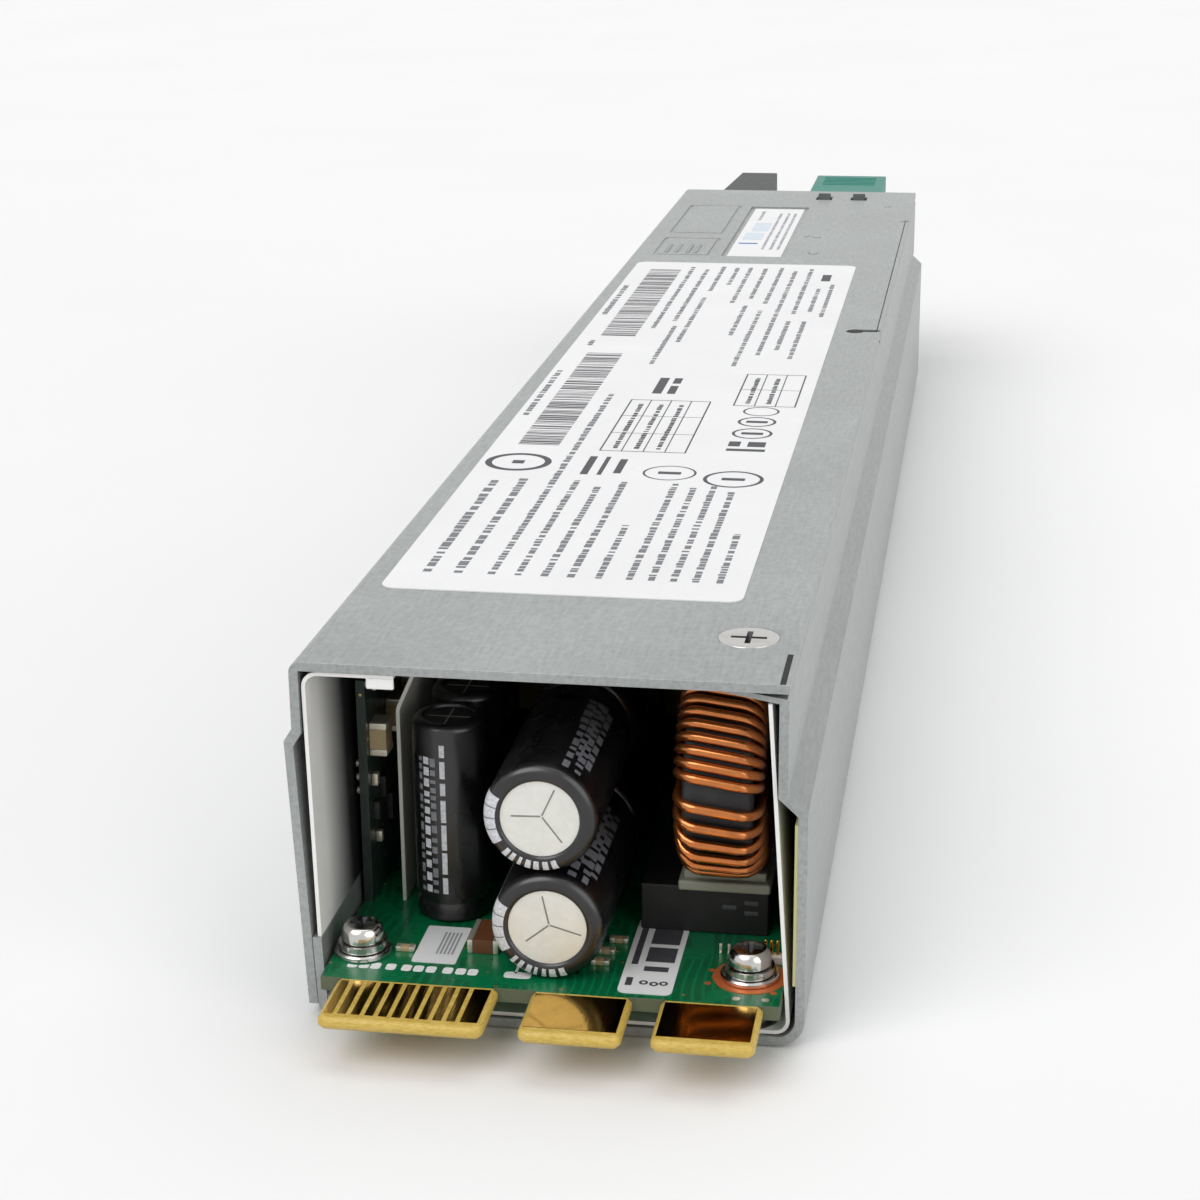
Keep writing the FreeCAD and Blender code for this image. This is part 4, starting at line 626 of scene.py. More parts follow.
class Finishes:
    """Every finish of the supply."""

    galvanised = SheetSteel("galvanised_steel", (161, 165, 164), 0.42)
    # Steel of the face panel, also used darker than the roof as painted shade on the roof ribs.
    panel = SheetSteel("panel_steel_and_rib_shade", (150, 154, 154), 0.42, metallic=0.6)
    bracket = SheetSteel("bracket_steel", (168, 170, 168), 0.4, metallic=0.7)
    label = Paper("label_stock", (240, 240, 241), 0.55)
    ink = Ink("label_ink", (62, 62, 66), 0.6)
    mid_ink = Ink("label_ink_grey", (112, 114, 118), 0.6)
    pale_ink = Ink("label_ink_pale", (150, 152, 156), 0.6)
    blue_ink = Ink("label_ink_blue", (70, 110, 170), 0.6)
    band_ink = Ink("label_ink_band", (205, 215, 228), 0.6)
    # The liner's finish carries painted shade further inside the housing.
    liner = Insulation("liner_sheet_painted_shade", (240, 240, 238), 0.5)
    screen = Moulded("screen_sheet_finish", (214, 214, 206), 0.45, grain=1.2, relief=0.012)
    tape = Moulded("side_tape_finish", (186, 184, 128), 0.5, grain=2.0, relief=0.01)
    board = BoardMask("board_mask", (0, 104, 62), 0.3)
    card = BoardMask("card_mask", (30, 44, 38), 0.5, top=60.0, tab=-900.0)
    ring_mask = BoardMask("ring_mask", (0, 96, 58), 0.35, top=60.0, tab=-900.0)
    gold = Plated("contact_gold_plate", (206, 162, 74), 0.1, streaks=(5.0, 0.5, 5.0),
                  tarnish=(110, 72, 26), worn=0.35)
    screw = Plated("screw_nickel", (206, 204, 200), 0.16, streaks=(6.0, 6.0, 6.0),
                   tarnish=(104, 98, 90), worn=0.35)
    pad_ring = Plated("pad_copper", (214, 116, 62), 0.42, metallic=0.5, tarnish=(150, 66, 30))
    enamel = Plated("winding_enamel", (192, 112, 46), 0.2, metallic=0.9, streaks=(0.5, 3.0, 3.0),
                    tarnish=(104, 46, 18), worn=0.55, coat=0.8)
    core = Moulded("ferrite_core", (18, 19, 21), 0.6, grain=1.6, relief=0.05, dust=0.03)
    sleeve = Sleeve("capacitor_sleeve", (15, 15, 17), 0.26)
    sleeve_mark = Ink("sleeve_mark", (196, 198, 204), 0.45)
    sleeve_pale = Ink("sleeve_mark_dim", (120, 122, 128), 0.45)
    can = Plated("can_aluminium_plate", (226, 226, 220), 0.38, metallic=0.35, streaks=(1.4, 1.4, 1.4),
                 tarnish=(196, 190, 172), worn=0.3)
    # Grey for vent grooves: on the lying caps' light faces it is painted shade in the grooves.
    groove = Moulded("vent_groove", (128, 126, 118), 0.5)
    bung = Moulded("rubber_bung", (30, 30, 30), 0.7)
    base = Moulded("choke_base_plastic", (148, 150, 136), 0.5, relief=0.03)
    black = Moulded("moulded_black_plastic", (26, 27, 29), 0.45)
    chip_beige = Moulded("chip_ceramic", (176, 156, 118), 0.4, relief=0.01)
    chip_brown = Moulded("chip_brown_ceramic", (104, 62, 34), 0.4, relief=0.01)
    tin = Plated("tinned_end", (212, 208, 190), 0.35, metallic=0.7)
    white = Moulded("header_plastic", (226, 226, 218), 0.45)
    gap = Moulded("gap_shadow", (20, 21, 22), 0.8, dust=0.02)
    # Painted shade: dark steel for the walls and floor of the screws' cross recesses.
    recess = Plated("recess_painted_shade", (66, 66, 68), 0.5, metallic=0.6)
    # Black plastic of the driver module, darkened further as painted shade.
    module = Moulded("module_plastic_and_painted_shade", (11, 11, 12), 0.5, dust=0.01)
    dim_ink = Ink("module_ink", (74, 76, 80), 0.6)
    yellow_tape = Moulded("winding_tape", (112, 94, 30), 0.35, grain=1.0, relief=0.01, coat=0.3)
    yellow_box = Moulded("filter_block_plastic", (150, 122, 42), 0.38, coat=0.2)
    sink = Plated("sink_aluminium_plate", (190, 192, 194), 0.38, metallic=0.8, streaks=(2.0, 0.2, 2.0))
    copper = Plated("choke_winding", (200, 120, 48), 0.3, metallic=0.8, coat=0.5)
    glass = Clear("fuse_glass_tube", (214, 222, 222), 0.05)
    lamp = Clear("lamp_lens", (206, 224, 206), 0.12, depth=0.6)
    rubber = Moulded("wire_rubber", (30, 30, 32), 0.5)
    teal = Moulded("latch_plastic", (0, 116, 101), 0.42, grain=2.6, relief=0.02, dust=0.02)
    handle = Moulded("handle_plastic", (38, 41, 41), 0.5, grain=2.4, relief=0.035, dust=0.06)
    # Painted shade for the latch's teeth, on the same teal moulding.
    tooth = Moulded("latch_tooth_painted_shade", (26, 36, 35), 0.4)
    spring = Plated("spring_wire", (170, 170, 172), 0.3, streaks=(4.0, 4.0, 4.0))
    silk = Ink("silk_screen", (238, 240, 236), 0.5)
    sticker = Paper("sticker_stock", (232, 233, 233), 0.5)


# ---------------------------------------------------------------------- mesh operators


def linked(name: str, data: bpy.types.ID) -> bpy.types.Object:
    """A new object in the scene."""
    made = bpy.data.objects.new(name, data)
    bpy.context.scene.collection.objects.link(made)
    return made


def edges_at(verts: Iterable[bmesh.types.BMVert]) -> list[bmesh.types.BMEdge]:
    """The edges at some vertices, each once."""
    return list(dict.fromkeys(edge for vert in verts for edge in vert.link_edges))


def faces_at(verts: Iterable[bmesh.types.BMVert]) -> list[bmesh.types.BMFace]:
    """The faces at some vertices, each once."""
    return list(dict.fromkeys(face for vert in verts for face in vert.link_faces))


def verts_of(parts: Iterable[object]) -> Verts:
    """The vertices among some parts of a mesh."""
    return [part for part in parts if isinstance(part, bmesh.types.BMVert)]


def island(verts: Iterable[bmesh.types.BMVert]) -> Verts:
    """Some vertices and all that edges join to them.

    Args:
        verts: The vertices to start from.

    Returns:
        All of them, each once.
    """
    grown = dict.fromkeys(verts)
    rim = list(grown)
    while rim:
        near = dict.fromkeys(edge.other_vert(vert) for vert in rim for edge in vert.link_edges)
        rim = [vert for vert in near if vert not in grown]
        grown.update(dict.fromkeys(rim))
    return list(grown)


class Shape:
    """A bmesh in millimetres, with the operators that the pieces share."""

    def __init__(self) -> None:
        """Start empty, with the first finish in hand."""
        self.bm = bmesh.new()
        self.finishes: list[Finish] = []
        self.index = 0

    def using(self, finish: Finish) -> "Shape":
        """Take up a finish for the faces that come next.

        Args:
            finish: The finish.

        Returns:
            This shape.
        """
        if finish not in self.finishes:
            self.finishes.append(finish)
        self.index = self.finishes.index(finish)
        return self

    def painted(self, verts: Iterable[bmesh.types.BMVert]) -> Verts:
        """Give the finish in hand to the faces at some vertices.

        Args:
            verts: The vertices.

        Returns:
            The same vertices.
        """
        kept = list(verts)
        for face in faces_at(kept):
            face.material_index = self.index
        return kept

    def bevel(self, parts: Iterable[bmesh.types.BMVert | bmesh.types.BMEdge], width: float,
              steps: int, affect: str = "EDGES", clamp: bool = False) -> dict[str, list]:
        """Round some edges or corners.

        Args:
            parts: The edges or corners.
            width: How far they are rounded.
            steps: Segments of the rounding.
            affect: Whether these are EDGES or VERTICES.
            clamp: Whether the width shrinks where there is no room.

        Returns:
            The operator's new vertices, edges and faces.
        """
        return bmesh.ops.bevel(self.bm, geom=list(parts), offset=width, segments=steps, profile=0.5,
                               affect=affect, material=-1, clamp_overlap=clamp)

    def block(self, low: Point, high: Point, soft: float = 0.0, steps: int = 2) -> Verts:
        """Add a box.

        Args:
            low: Its lowest corner.
            high: Its highest corner.
            soft: How far its edges are rounded.
            steps: Segments of the rounding.

        Returns:
            The box's vertices, or those of its rounding.
        """
        size = Vector(high) - Vector(low)
        middle = (Vector(high) + Vector(low)) / 2
        place = Matrix.Translation(middle) @ Matrix.Diagonal(size).to_4x4()
        verts = self.painted(bmesh.ops.create_cube(self.bm, size=1.0, matrix=place)["verts"])
        if soft:
            verts = self.bevel(edges_at(verts), soft, steps)["verts"]
        return verts

    def plate(self, low: Point, high: Point, height: float) -> Verts:
        """Add one flat rectangle facing up, for print and thin marks.

        Args:
            low: Its lowest corner.
            high: Its highest corner.
            height: How high it lies.

        Returns:
            Its vertices.
        """
        middle = Vector(((low[0] + high[0]) / 2, (low[1] + high[1]) / 2, height))
        size = Matrix.Diagonal(((high[0] - low[0]) / 2, (high[1] - low[1]) / 2, 1.0)).to_4x4()
        made = bmesh.ops.create_grid(self.bm, x_segments=1, y_segments=1, size=1.0,
                                     matrix=Matrix.Translation(middle) @ size)
        return self.painted(made["verts"])

    def ring(self, centre: Point, inner: float, outer: float, height: float,
             sides: int = 40) -> None:
        """Add one flat ring facing up.

        Args:
            centre: Its middle.
            inner: Its inner radius.
            outer: Its outer radius.
            height: How high it lies.
            sides: How many sides it has.
        """
        place = Matrix.Translation((centre[0], centre[1], height))
        made = bmesh.ops.create_circle(self.bm, cap_ends=True, segments=sides, radius=outer,
                                       matrix=place)["verts"]
        face = made[0].link_faces[0]
        bmesh.ops.inset_region(self.bm, faces=[face], thickness=outer - inner, use_even_offset=True,
                               use_boundary=True)
        self.painted(island(made))
        bmesh.ops.delete(self.bm, geom=[face], context="FACES_ONLY")

    def turned(self, profile: Sequence[tuple[float, float]], start: Point, axis: Axis) -> None:
        """Turn a profile round an axis.

        Args:
            profile: Radius and distance along the axis of each corner.
            start: Where the axis starts.
            axis: Its direction.
        """
        place = Matrix.Translation(start) @ axis.turn
        verts = [self.bm.verts.new(place @ Vector((radius, 0.0, along))) for radius, along in profile]
        edges = [self.bm.edges.new(pair) for pair in zip(verts, verts[1:])]
        known = set(self.bm.faces)
        bmesh.ops.spin(self.bm, geom=verts + edges, cent=start, axis=axis.vector, angle=math.tau,
                       steps=TURN_SIDES, use_merge=True, use_duplicate=False)
        fresh = [face for face in self.bm.faces if face not in known]
        for face in fresh:
            face.material_index = self.index
        around = list(dict.fromkeys(vert for face in fresh for vert in face.verts))
        bmesh.ops.remove_doubles(self.bm, verts=around, dist=1e-4)

    def rod(self, start: Point, axis: Axis, length: float, radius: float, soft: float = 0.0,
            sides: int = 32) -> None:
        """Add a closed round bar.

        Args:
            start: The middle of its first end.
            axis: Its direction.
            length: Its length.
            radius: Its radius.
            soft: The bevel of both ends.
            sides: How many sides it has.
        """
        place = Matrix.Translation(Vector(start) + axis.vector * length / 2) @ axis.turn
        made = bmesh.ops.create_cone(self.bm, cap_ends=True, segments=sides, radius1=radius,
                                     radius2=radius, depth=length, matrix=place)["verts"]
        verts = self.painted(made)
        if soft:
            rims = [edge for edge in edges_at(verts)
                    if len({len(face.verts) > 4 for face in edge.link_faces}) == 2]
            self.bevel(rims, soft, 3)

    def soften(self, width: float, steps: int = 2) -> "Shape":
        """Round every sharp edge.

        Args:
            width: How far they are rounded.
            steps: Segments of the rounding.

        Returns:
            This shape.
        """
        limit = math.radians(SHARP)
        sharp = [edge for edge in self.bm.edges
                 if len(edge.link_faces) == 2 and edge.calc_face_angle(0.0) > limit]
        self.bevel(sharp, width, steps, clamp=True)
        return self

    def card(self, low: Point, high: Point, corner: float) -> None:
        """Add a thin sheet with rounded corners.

        Args:
            low: Its lowest corner.
            high: Its highest corner.
            corner: The radius of its corners.
        """
        verts = self.block(low, high)
        upright = [edge for edge in edges_at(verts)
                   if abs(edge.verts[0].co.z - edge.verts[1].co.z) > (high[2] - low[2]) / 2]
        self.painted(self.bevel(upright, corner, 6)["verts"])

    def carve(self, cutter: "Shape") -> "Shape":
        """Cut another closed mesh out of this one.

        Args:
            cutter: The mesh to cut away, used up by the cut.

        Returns:
            This shape.
        """
        made = []
        for shape in (self, cutter):
            mesh = bpy.data.meshes.new("carve_work")
            shape.bm.to_mesh(mesh)
            made.append(linked("carve_work", mesh))
        cut = made[0].modifiers.new("cut", "BOOLEAN")
        cut.operation = "DIFFERENCE"
        cut.solver = "EXACT"
        cut.object = made[1]
        graph = bpy.context.evaluated_depsgraph_get()
        result = bpy.data.meshes.new_from_object(made[0].evaluated_get(graph))
        self.bm.clear()
        self.bm.from_mesh(result)
        cutter.bm.free()
        for item in made:
            bpy.data.objects.remove(item)
        return self

    def take(self, node: str) -> "Shape":
        """Take a merged copy of a frame node's mesh, in millimetres.

        Args:
            node: The node's name.

        Returns:
            This shape.
        """
        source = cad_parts[node].data
        known = set(self.bm.verts)
        self.bm.from_mesh(source)
        fresh = [vert for vert in self.bm.verts if vert not in known]
        bmesh.ops.scale(self.bm, vec=(1 / MM, 1 / MM, 1 / MM), verts=fresh)
        bmesh.ops.remove_doubles(self.bm, verts=fresh, dist=2e-3)
        alive = [vert for vert in fresh if vert.is_valid]
        bmesh.ops.dissolve_limit(self.bm, angle_limit=math.radians(0.6), use_dissolve_boundaries=False,
                                 verts=alive, edges=edges_at(alive), delimit=set())
        self.painted(vert for vert in alive if vert.is_valid)
        return self

    def piece(self, name: str, body: Body = Body.HOUSING, replaces: Sequence[str] = (),
              slot: str | None = None, smooth: float = 40.0, flat: bool = False) -> None:
        """Finish the mesh as an object in the frame.

        Args:
            name: The piece's name.
            body: The body that it rides on.
            replaces: The frame nodes that it stands for.
            slot: A material slot name, not used.
            smooth: The angle below which edges shade smooth.
            flat: Whether it is flat print, whose faces already point the right way.
        """
        bmesh.ops.scale(self.bm, vec=(MM, MM, MM), verts=self.bm.verts)
        if not flat:
            bmesh.ops.recalc_face_normals(self.bm, faces=self.bm.faces)
        for face in self.bm.faces:
            face.smooth = True
        mesh = bpy.data.meshes.new(name)
        self.bm.to_mesh(mesh)
        self.bm.free()
        mesh.set_sharp_from_angle(angle=math.radians(smooth))
        for finish in self.finishes:
            mesh.materials.append(finish.material())
        made = linked(name, mesh)
        if not flat:
            weighted = made.modifiers.new("weighted_normals", "WEIGHTED_NORMAL")
            weighted.keep_sharp = True
        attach(made, body.value)
        if replaces:
            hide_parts(*replaces)
        LOG.info("%s: %d faces", name, len(mesh.polygons))


def node_box(node: str) -> tuple[Vector, Vector]:
    """A frame node's lowest and highest corners, in millimetres."""
    low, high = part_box(node)
    return low / MM, high / MM


def dress(finish: Finish, *nodes: str) -> None:
    """Give frame nodes a finish.

    Args:
        finish: The finish.
        nodes: The nodes' names.
    """
    for node in nodes:
        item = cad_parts[node]
        if not item.material_slots:
            item.data.materials.append(finish.material())
        for place in item.material_slots:
            place.material = finish.material()
        LOG.info("%s: %s", node, finish.name)


# ------------------------------------------------------------------------ sub-assemblies


@dataclass
class Shell:
    """Tray, cover, panel and brackets: the bent steel of the housing."""

    bend: float = 0.22
    sheets: tuple[tuple[str, Finish], ...] = (
        ("base_tray", Finishes.galvanised), ("top_cover", Finishes.galvanised),
        ("face_panel", Finishes.panel), ("latch_bracket", Finishes.bracket))
    step_low: float = 31.2
    step_high: float = 32.6
    left: float = -23.6
    overhang: tuple[float, float] = (-0.9, -0.3)
    lean: tuple[float, float] = (0.25, 1.6)
    reach: tuple[float, float] = (-155.0, 155.0)
    relief: tuple[float, float, float] = (21.1, 11.0, 1.3)
    gaps: tuple[tuple[tuple[float, float], tuple[float, float]], ...] = (
        ((22.0, 10.7), (24.7, 11.3)), ((24.52, 11.0), (24.68, 118.0)), ((24.2, -154.9), (24.8, -146.0)))
    rib_places: tuple[float, ...] = (-19.2, -17.3, -15.1, -13.6)
    rib_half: float = 0.42
    rib_run: tuple[float, float] = (78.5, 86.5)
    dimples: tuple[tuple[float, float, float], ...] = (
        (8.0, 98.0, 0.9), (8.8, 80.0, 0.9), (6.2, 98.4, 0.5), (20.0, 136.0, 0.7))
    lip_right: float = 24.0
    lip_low: float = 37.2
    lip_back: float = 4.0

    def settle(self, shape: Shape, tray: bool) -> None:
        """Lean the lower left wall inwards towards the card edge and let the roof reach over it.

        Args:
            shape: The sheet.
            tray: Whether it is the tray, whose roof lip also starts further back.
        """
        near, far = self.reach
        for spot in (vert.co for vert in shape.bm.verts):
            on_lip = 0.0 < spot.x < self.lip_right and spot.z > self.lip_low
            if tray and on_lip and spot.y < near + 1.0:
                spot.y += self.lip_back
            if spot.x > self.left:
                continue
            share = min(max((spot.y - near) / (far - near), 0.0), 1.0)
            if spot.z > (self.step_low + self.step_high) / 2:
                spot.x += self.overhang[0] + (self.overhang[1] - self.overhang[0]) * share
            else:
                down = min(max((self.step_low - spot.z) / self.step_low, 0.0), 1.0)
                spot.x += (self.lean[0] + (self.lean[1] - self.lean[0]) * down) * (1.0 - share)

    def make(self) -> None:
        """Round the cut edges of each sheet and dress it."""
        for node, finish in self.sheets:
            shape = Shape().using(finish).take(node)
            if node in ("base_tray", "top_cover"):
                self.settle(shape, node == "base_tray")
            shape.soften(self.bend)
            shape.piece(f"{node}_sheet", replaces=[node], slot="galvanised")
        self.ribs()

    def ribs(self) -> None:
        """Press ribs and dimples into the roof, the ribs in darker steel as painted shade, and lay painted
        shadow in its relief hole, slots and seam.
        """
        top = node_box("top_cover")[1].z
        # Painted shade: the ribs take the darker panel steel.
        shape = Shape().using(Finishes.panel)
        for x in self.rib_places:
            shape.block((x - self.rib_half, self.rib_run[0], top - 0.1),
                        (x + self.rib_half, self.rib_run[1], top + 0.22), 0.16)
        shape.using(Finishes.galvanised)
        for x, y, radius in self.dimples:
            shape.rod((x, y, top - 0.1), Axis.Z, 0.3, radius, 0.14, sides=24)
        shape.piece("roof_ribs", slot="galvanised")
        x, y, radius = self.relief
        # Painted shadow: dark pieces in the relief hole, the slits, the seam and the corner gap.
        gaps = Shape().using(Finishes.gap)
        gaps.rod((x, y, top - 0.6), Axis.Z, 0.62, radius, 0.02, sides=32)
        for low, high in self.gaps:
            gaps.block((*low, top - 0.3), (*high, top + 0.02))
        gaps.piece("roof_gap_shadows", slot="galvanised")


@dataclass
class Liner:
    """Folded insulating liner: flap with its tongue, straight left wall, floor and leaning right wall."""

    sheet: float = 0.4
    flap: float = -15.2
    top: float = 38.85
    left_top: float = -24.95
    left_low: float = -24.35
    floor: float = 1.15
    right_low: float = 25.8
    right_top: tuple[float, float] = (23.45, 37.75)
    fold: float = 1.7
    hole: float = 3.2
    tongue: tuple[float, float, float] = (-18.1, -15.2, 1.1)

    def make(self) -> None:
        """Fold the sheet, cut its holes and hang the tongue."""
        low, high = node_box("liner")
        start, end = low.y, high.y
        shape = Shape().using(Finishes.liner)
        corners = [(self.flap, self.top), (self.left_top, self.top), (self.left_low, self.floor),
                   (self.right_low, self.floor), self.right_top]
        verts = [shape.bm.verts.new((x, start, z)) for x, z in corners]
        for pair in zip(verts, verts[1:]):
            shape.bm.edges.new(pair)
        shape.bevel(verts[1:-1], self.fold, 6, "VERTICES")
        made = bmesh.ops.extrude_edge_only(shape.bm, edges=list(shape.bm.edges))["geom"]
        bmesh.ops.translate(shape.bm, vec=(0.0, end - start, 0.0), verts=verts_of(made))
        bmesh.ops.recalc_face_normals(shape.bm, faces=shape.bm.faces)
        inside = Vector((0.0, 0.0, self.top / 2))
        inward = sum(face.normal.dot(inside - face.calc_center_median()) for face in shape.bm.faces)
        if inward > 0:
            bmesh.ops.reverse_faces(shape.bm, faces=shape.bm.faces)
        bmesh.ops.solidify(shape.bm, geom=shape.bm.faces, thickness=self.sheet)
        cutter = Shape()
        for x, y in Screws.spots():
            cutter.rod((x, y, self.floor - 0.65), Axis.Z, 3.0, self.hole)
        shape.carve(cutter)
        left, right, drop = self.tongue
        top = self.top - self.sheet * 0.5
        shape.block((left, start, top - drop - 0.3), (right, start + self.sheet, top), 0.17)
        for face in shape.bm.faces:
            face.material_index = 0
        shape.piece("liner_fold", replaces=["liner"], slot="liner_white", smooth=50.0)


@dataclass
class CoverScrew:
    """Countersunk cross-recess screw in the cover."""

    rim: float = 0.25
    recess_reach: float = 1.9
    recess_width: float = 0.62
    recess_depth: float = 1.0

    def make(self) -> None:
        """Cut the cross recess into a copy of the screw."""
        low, high = node_box("cover_screw")
        x, y = (low.x + high.x) / 2, (low.y + high.y) / 2
        radius = (high.x - low.x) / 2
        top = high.z
        shape = Shape().using(Finishes.screw)
        shape.turned([(0.0, low.z), (radius * 0.42, low.z), (radius * 0.46, low.z + 0.2),
                      (radius * 0.5, top - 1.5), (radius - self.rim, top - 0.35), (radius, top - 0.2),
                      (radius - 0.1, top - 0.04), (radius * 0.86, top)],
                     (x, y, 0.0), Axis.Z)
        cross_head(shape, (x, y), top, radius * 0.86, self.recess_reach, self.recess_width / 2,
                   self.recess_depth)
        shape.piece("cover_screw_head", replaces=["cover_screw"], slot="screw_steel", smooth=32.0)


def cross_head(shape: Shape, centre: tuple[float, float], top: float, radius: float, reach: float,
               half: float, depth: float) -> None:
    """Add a flat screw face with a tapered cross recess, its walls and floor in painted shade.

    Args:
        shape: The mesh to add to.
        centre: The screw's axis.
        top: The height of the face.
        radius: The face's radius.
        reach: How far each arm of the cross reaches.
        half: Half the width of an arm.
        depth: The recess's depth.
    """
    x, y = centre
    corners = [(half, -half), (reach, -half), (reach, half), (half, half), (half, reach),
               (-half, reach), (-half, half), (-reach, half), (-reach, -half), (-half, -half),
               (-half, -reach), (half, -reach)]
    rim = bmesh.ops.create_circle(shape.bm, cap_ends=False, segments=TURN_SIDES, radius=radius,
                                  matrix=Matrix.Translation((x, y, top)))["verts"]
    mouth = [shape.bm.verts.new((x + a, y + b, top)) for a, b in corners]
    edges = [shape.bm.edges.new(pair) for pair in zip(mouth, mouth[1:] + mouth[:1])]
    made = bmesh.ops.triangle_fill(shape.bm, edges=edges + edges_at(rim), use_beauty=True,
                                   use_dissolve=False, normal=(0.0, 0.0, 1.0))["geom"]
    for face in (part for part in made if isinstance(part, bmesh.types.BMFace)):
        face.material_index = shape.index
    walls = bmesh.ops.extrude_edge_only(shape.bm, edges=edges)["geom"]
    sunk = verts_of(walls)
    sunk_edges = [part for part in walls if isinstance(part, bmesh.types.BMEdge)]
    bmesh.ops.translate(shape.bm, vec=(0.0, 0.0, -depth), verts=sunk)
    bmesh.ops.scale(shape.bm, vec=(0.5, 0.5, 1.0), verts=sunk,
                    space=Matrix.Translation((-x, -y, 0.0)))
    bmesh.ops.contextual_create(shape.bm, geom=sunk_edges)
    # Painted shade on the recess's walls and floor.
    shape.using(Finishes.recess).painted(sunk)
    bmesh.ops.remove_doubles(shape.bm, verts=shape.bm.verts, dist=2e-3)


@dataclass
class LabelPrint:
    """Generic print on the two roof labels: greeked lines, ruled boxes, stripes, rings and blocks."""

    seed: int = 7
    top: float = 0.0
    near: float = -155.0
    sheet: tuple[float, float, float] = (-22.8, -130.2, 17.8)
    lift: float = 0.012
    rule: float = 0.16
    lines: tuple[tuple[float, float, float, float], ...] = (
        (-18.8, 31, 70, 1.3), (-15.2, 31, 71, 1.3), (-11.3, 31, 118, 1.0), (-8.3, 31, 71, 1.0),
        (-5.2, 31, 69, 1.0), (-2.2, 31, 71, 1.0), (0.9, 31, 52, 1.0), (4.4, 31, 71, 1.0),
        (6.9, 31, 70, 1.0), (9.4, 31, 71, 1.0), (11.9, 31, 68, 1.0), (14.6, 31, 50, 1.0),
        (-21.5, 104, 132, 1.1), (-21.5, 174, 200, 1.1), (-20.0, 150, 154, 1.0),
        (-11.8, 164, 218, 0.9), (-9.0, 170, 216, 0.9), (-8.4, 138, 166, 0.9), (-6.4, 154, 190, 0.9),
        (-6.2, 196, 219, 0.9), (-3.6, 202, 218, 0.9), (-1.2, 186, 219, 0.9), (1.4, 160, 184, 0.9),
        (1.6, 190, 218, 0.9), (4.3, 138, 180, 0.9), (4.5, 186, 219, 0.9), (7.2, 146, 216, 0.9),
        (9.8, 150, 172, 0.9), (10.0, 178, 219, 0.9), (12.4, 144, 172, 0.9), (12.6, 180, 200, 0.9),
        (14.8, 176, 204, 0.9))
    stripes: tuple[tuple[float, float, float, float], ...] = (
        (-19.4, -13.8, 88, 144.5), (-19.4, -13.8, 157.5, 215))
    rings: tuple[tuple[float, float, float, float], ...] = (
        (-17.6, 79, 3.5, 4.4), (11.4, 74, 3.4, 3.9), (11.4, 97.5, 2.4, 2.8), (11.4, 104, 2.3, 2.7),
        (11.4, 110, 2.3, 2.6), (2.9, 76.0, 3.2, 3.5))
    bars: tuple[tuple[float, float, float, float], ...] = (
        (-8.6, -7.6, 74, 83), (-6.4, -5.8, 74, 83), (-4.4, -3.4, 75, 82), (8.8, 14.0, 88.0, 89.2),
        (8.8, 10.4, 90.4, 93.0), (11.4, 13.8, 90.4, 93.0),
        (-5.6, -4.2, 119, 129), (-3.4, -2.2, 119, 124), (-3.4, -2.2, 125.5, 129), (12.4, 14.0, 207, 213),
        (-18.4, -16.8, 78.2, 79.8))
    tables: tuple[tuple[float, float, float, float, int, int], ...] = (
        (-8.0, 3.7, 86, 115, 4, 3), (7.0, 16.0, 113, 133, 3, 2))
    ring_bars: tuple[tuple[float, float], ...] = ((2.9, 76.0), (11.4, 74.0), (11.4, 97.5), (11.4, 104.0))
    small_lines: tuple[tuple[float, float, float, float], ...] = (
        (-1.4, 240, 282, 0.7), (0.2, 240, 282, 0.7), (1.6, 240, 282, 0.7), (-5.2, 273, 284, 0.8))

    def row(self, shape: Shape, dice: random.Random, x: float, start: float, end: float,
            height: float) -> None:
        """Lay one greeked line: plain dashes of uneven length.

        Args:
            shape: The mesh to add to.
            dice: The source of uneven lengths.
            x: The line's place across.
            start: Where it starts from the near end.
            end: Where it ends.
            height: The height of its dashes.
        """
        place = start
        while place < end:
            run = dice.uniform(0.5, 1.5) * height
            low = x - height * dice.choice((0.38, 0.38, 0.5))
            shape.plate((low, self.near + place), (x + height * 0.38, self.near + min(place + run, end)),
                        self.top)
            place += run + dice.choice((0.22, 0.22, 0.3, 0.75)) * height

    def frame_line(self, shape: Shape, low: Point, high: Point, width: float) -> None:
        """Rule the four sides of a rectangle.

        Args:
            shape: The mesh to add to.
            low: The lowest corner.
            high: The highest corner.
            width: The line's width.
        """
        shape.plate(low, (high[0], low[1] + width), self.top)
        shape.plate((low[0], high[1] - width), high, self.top)
        shape.plate(low, (low[0] + width, high[1]), self.top)
        shape.plate((high[0] - width, low[1]), high, self.top)

    def mark(self, shape: Shape, low: float, high: float, start: float, end: float) -> None:
        """Lay one plain rectangle, its places along counted from the near end."""
        shape.plate((low, self.near + start), (high, self.near + end), self.top)

    def code(self, shape: Shape, dice: random.Random, stripe: Sequence[float]) -> None:
        """Lay one run of uneven stripes.

        Args:
            shape: The mesh to add to.
            dice: The source of uneven widths.
            stripe: Its two sides, its start and its end.
        """
        low, high, place, end = stripe
        while place < end:
            bar = dice.choice((0.25, 0.25, 0.5, 0.75))
            self.mark(shape, low, high, place, place + bar)
            place += bar + dice.choice((0.3, 0.3, 0.55, 0.8))

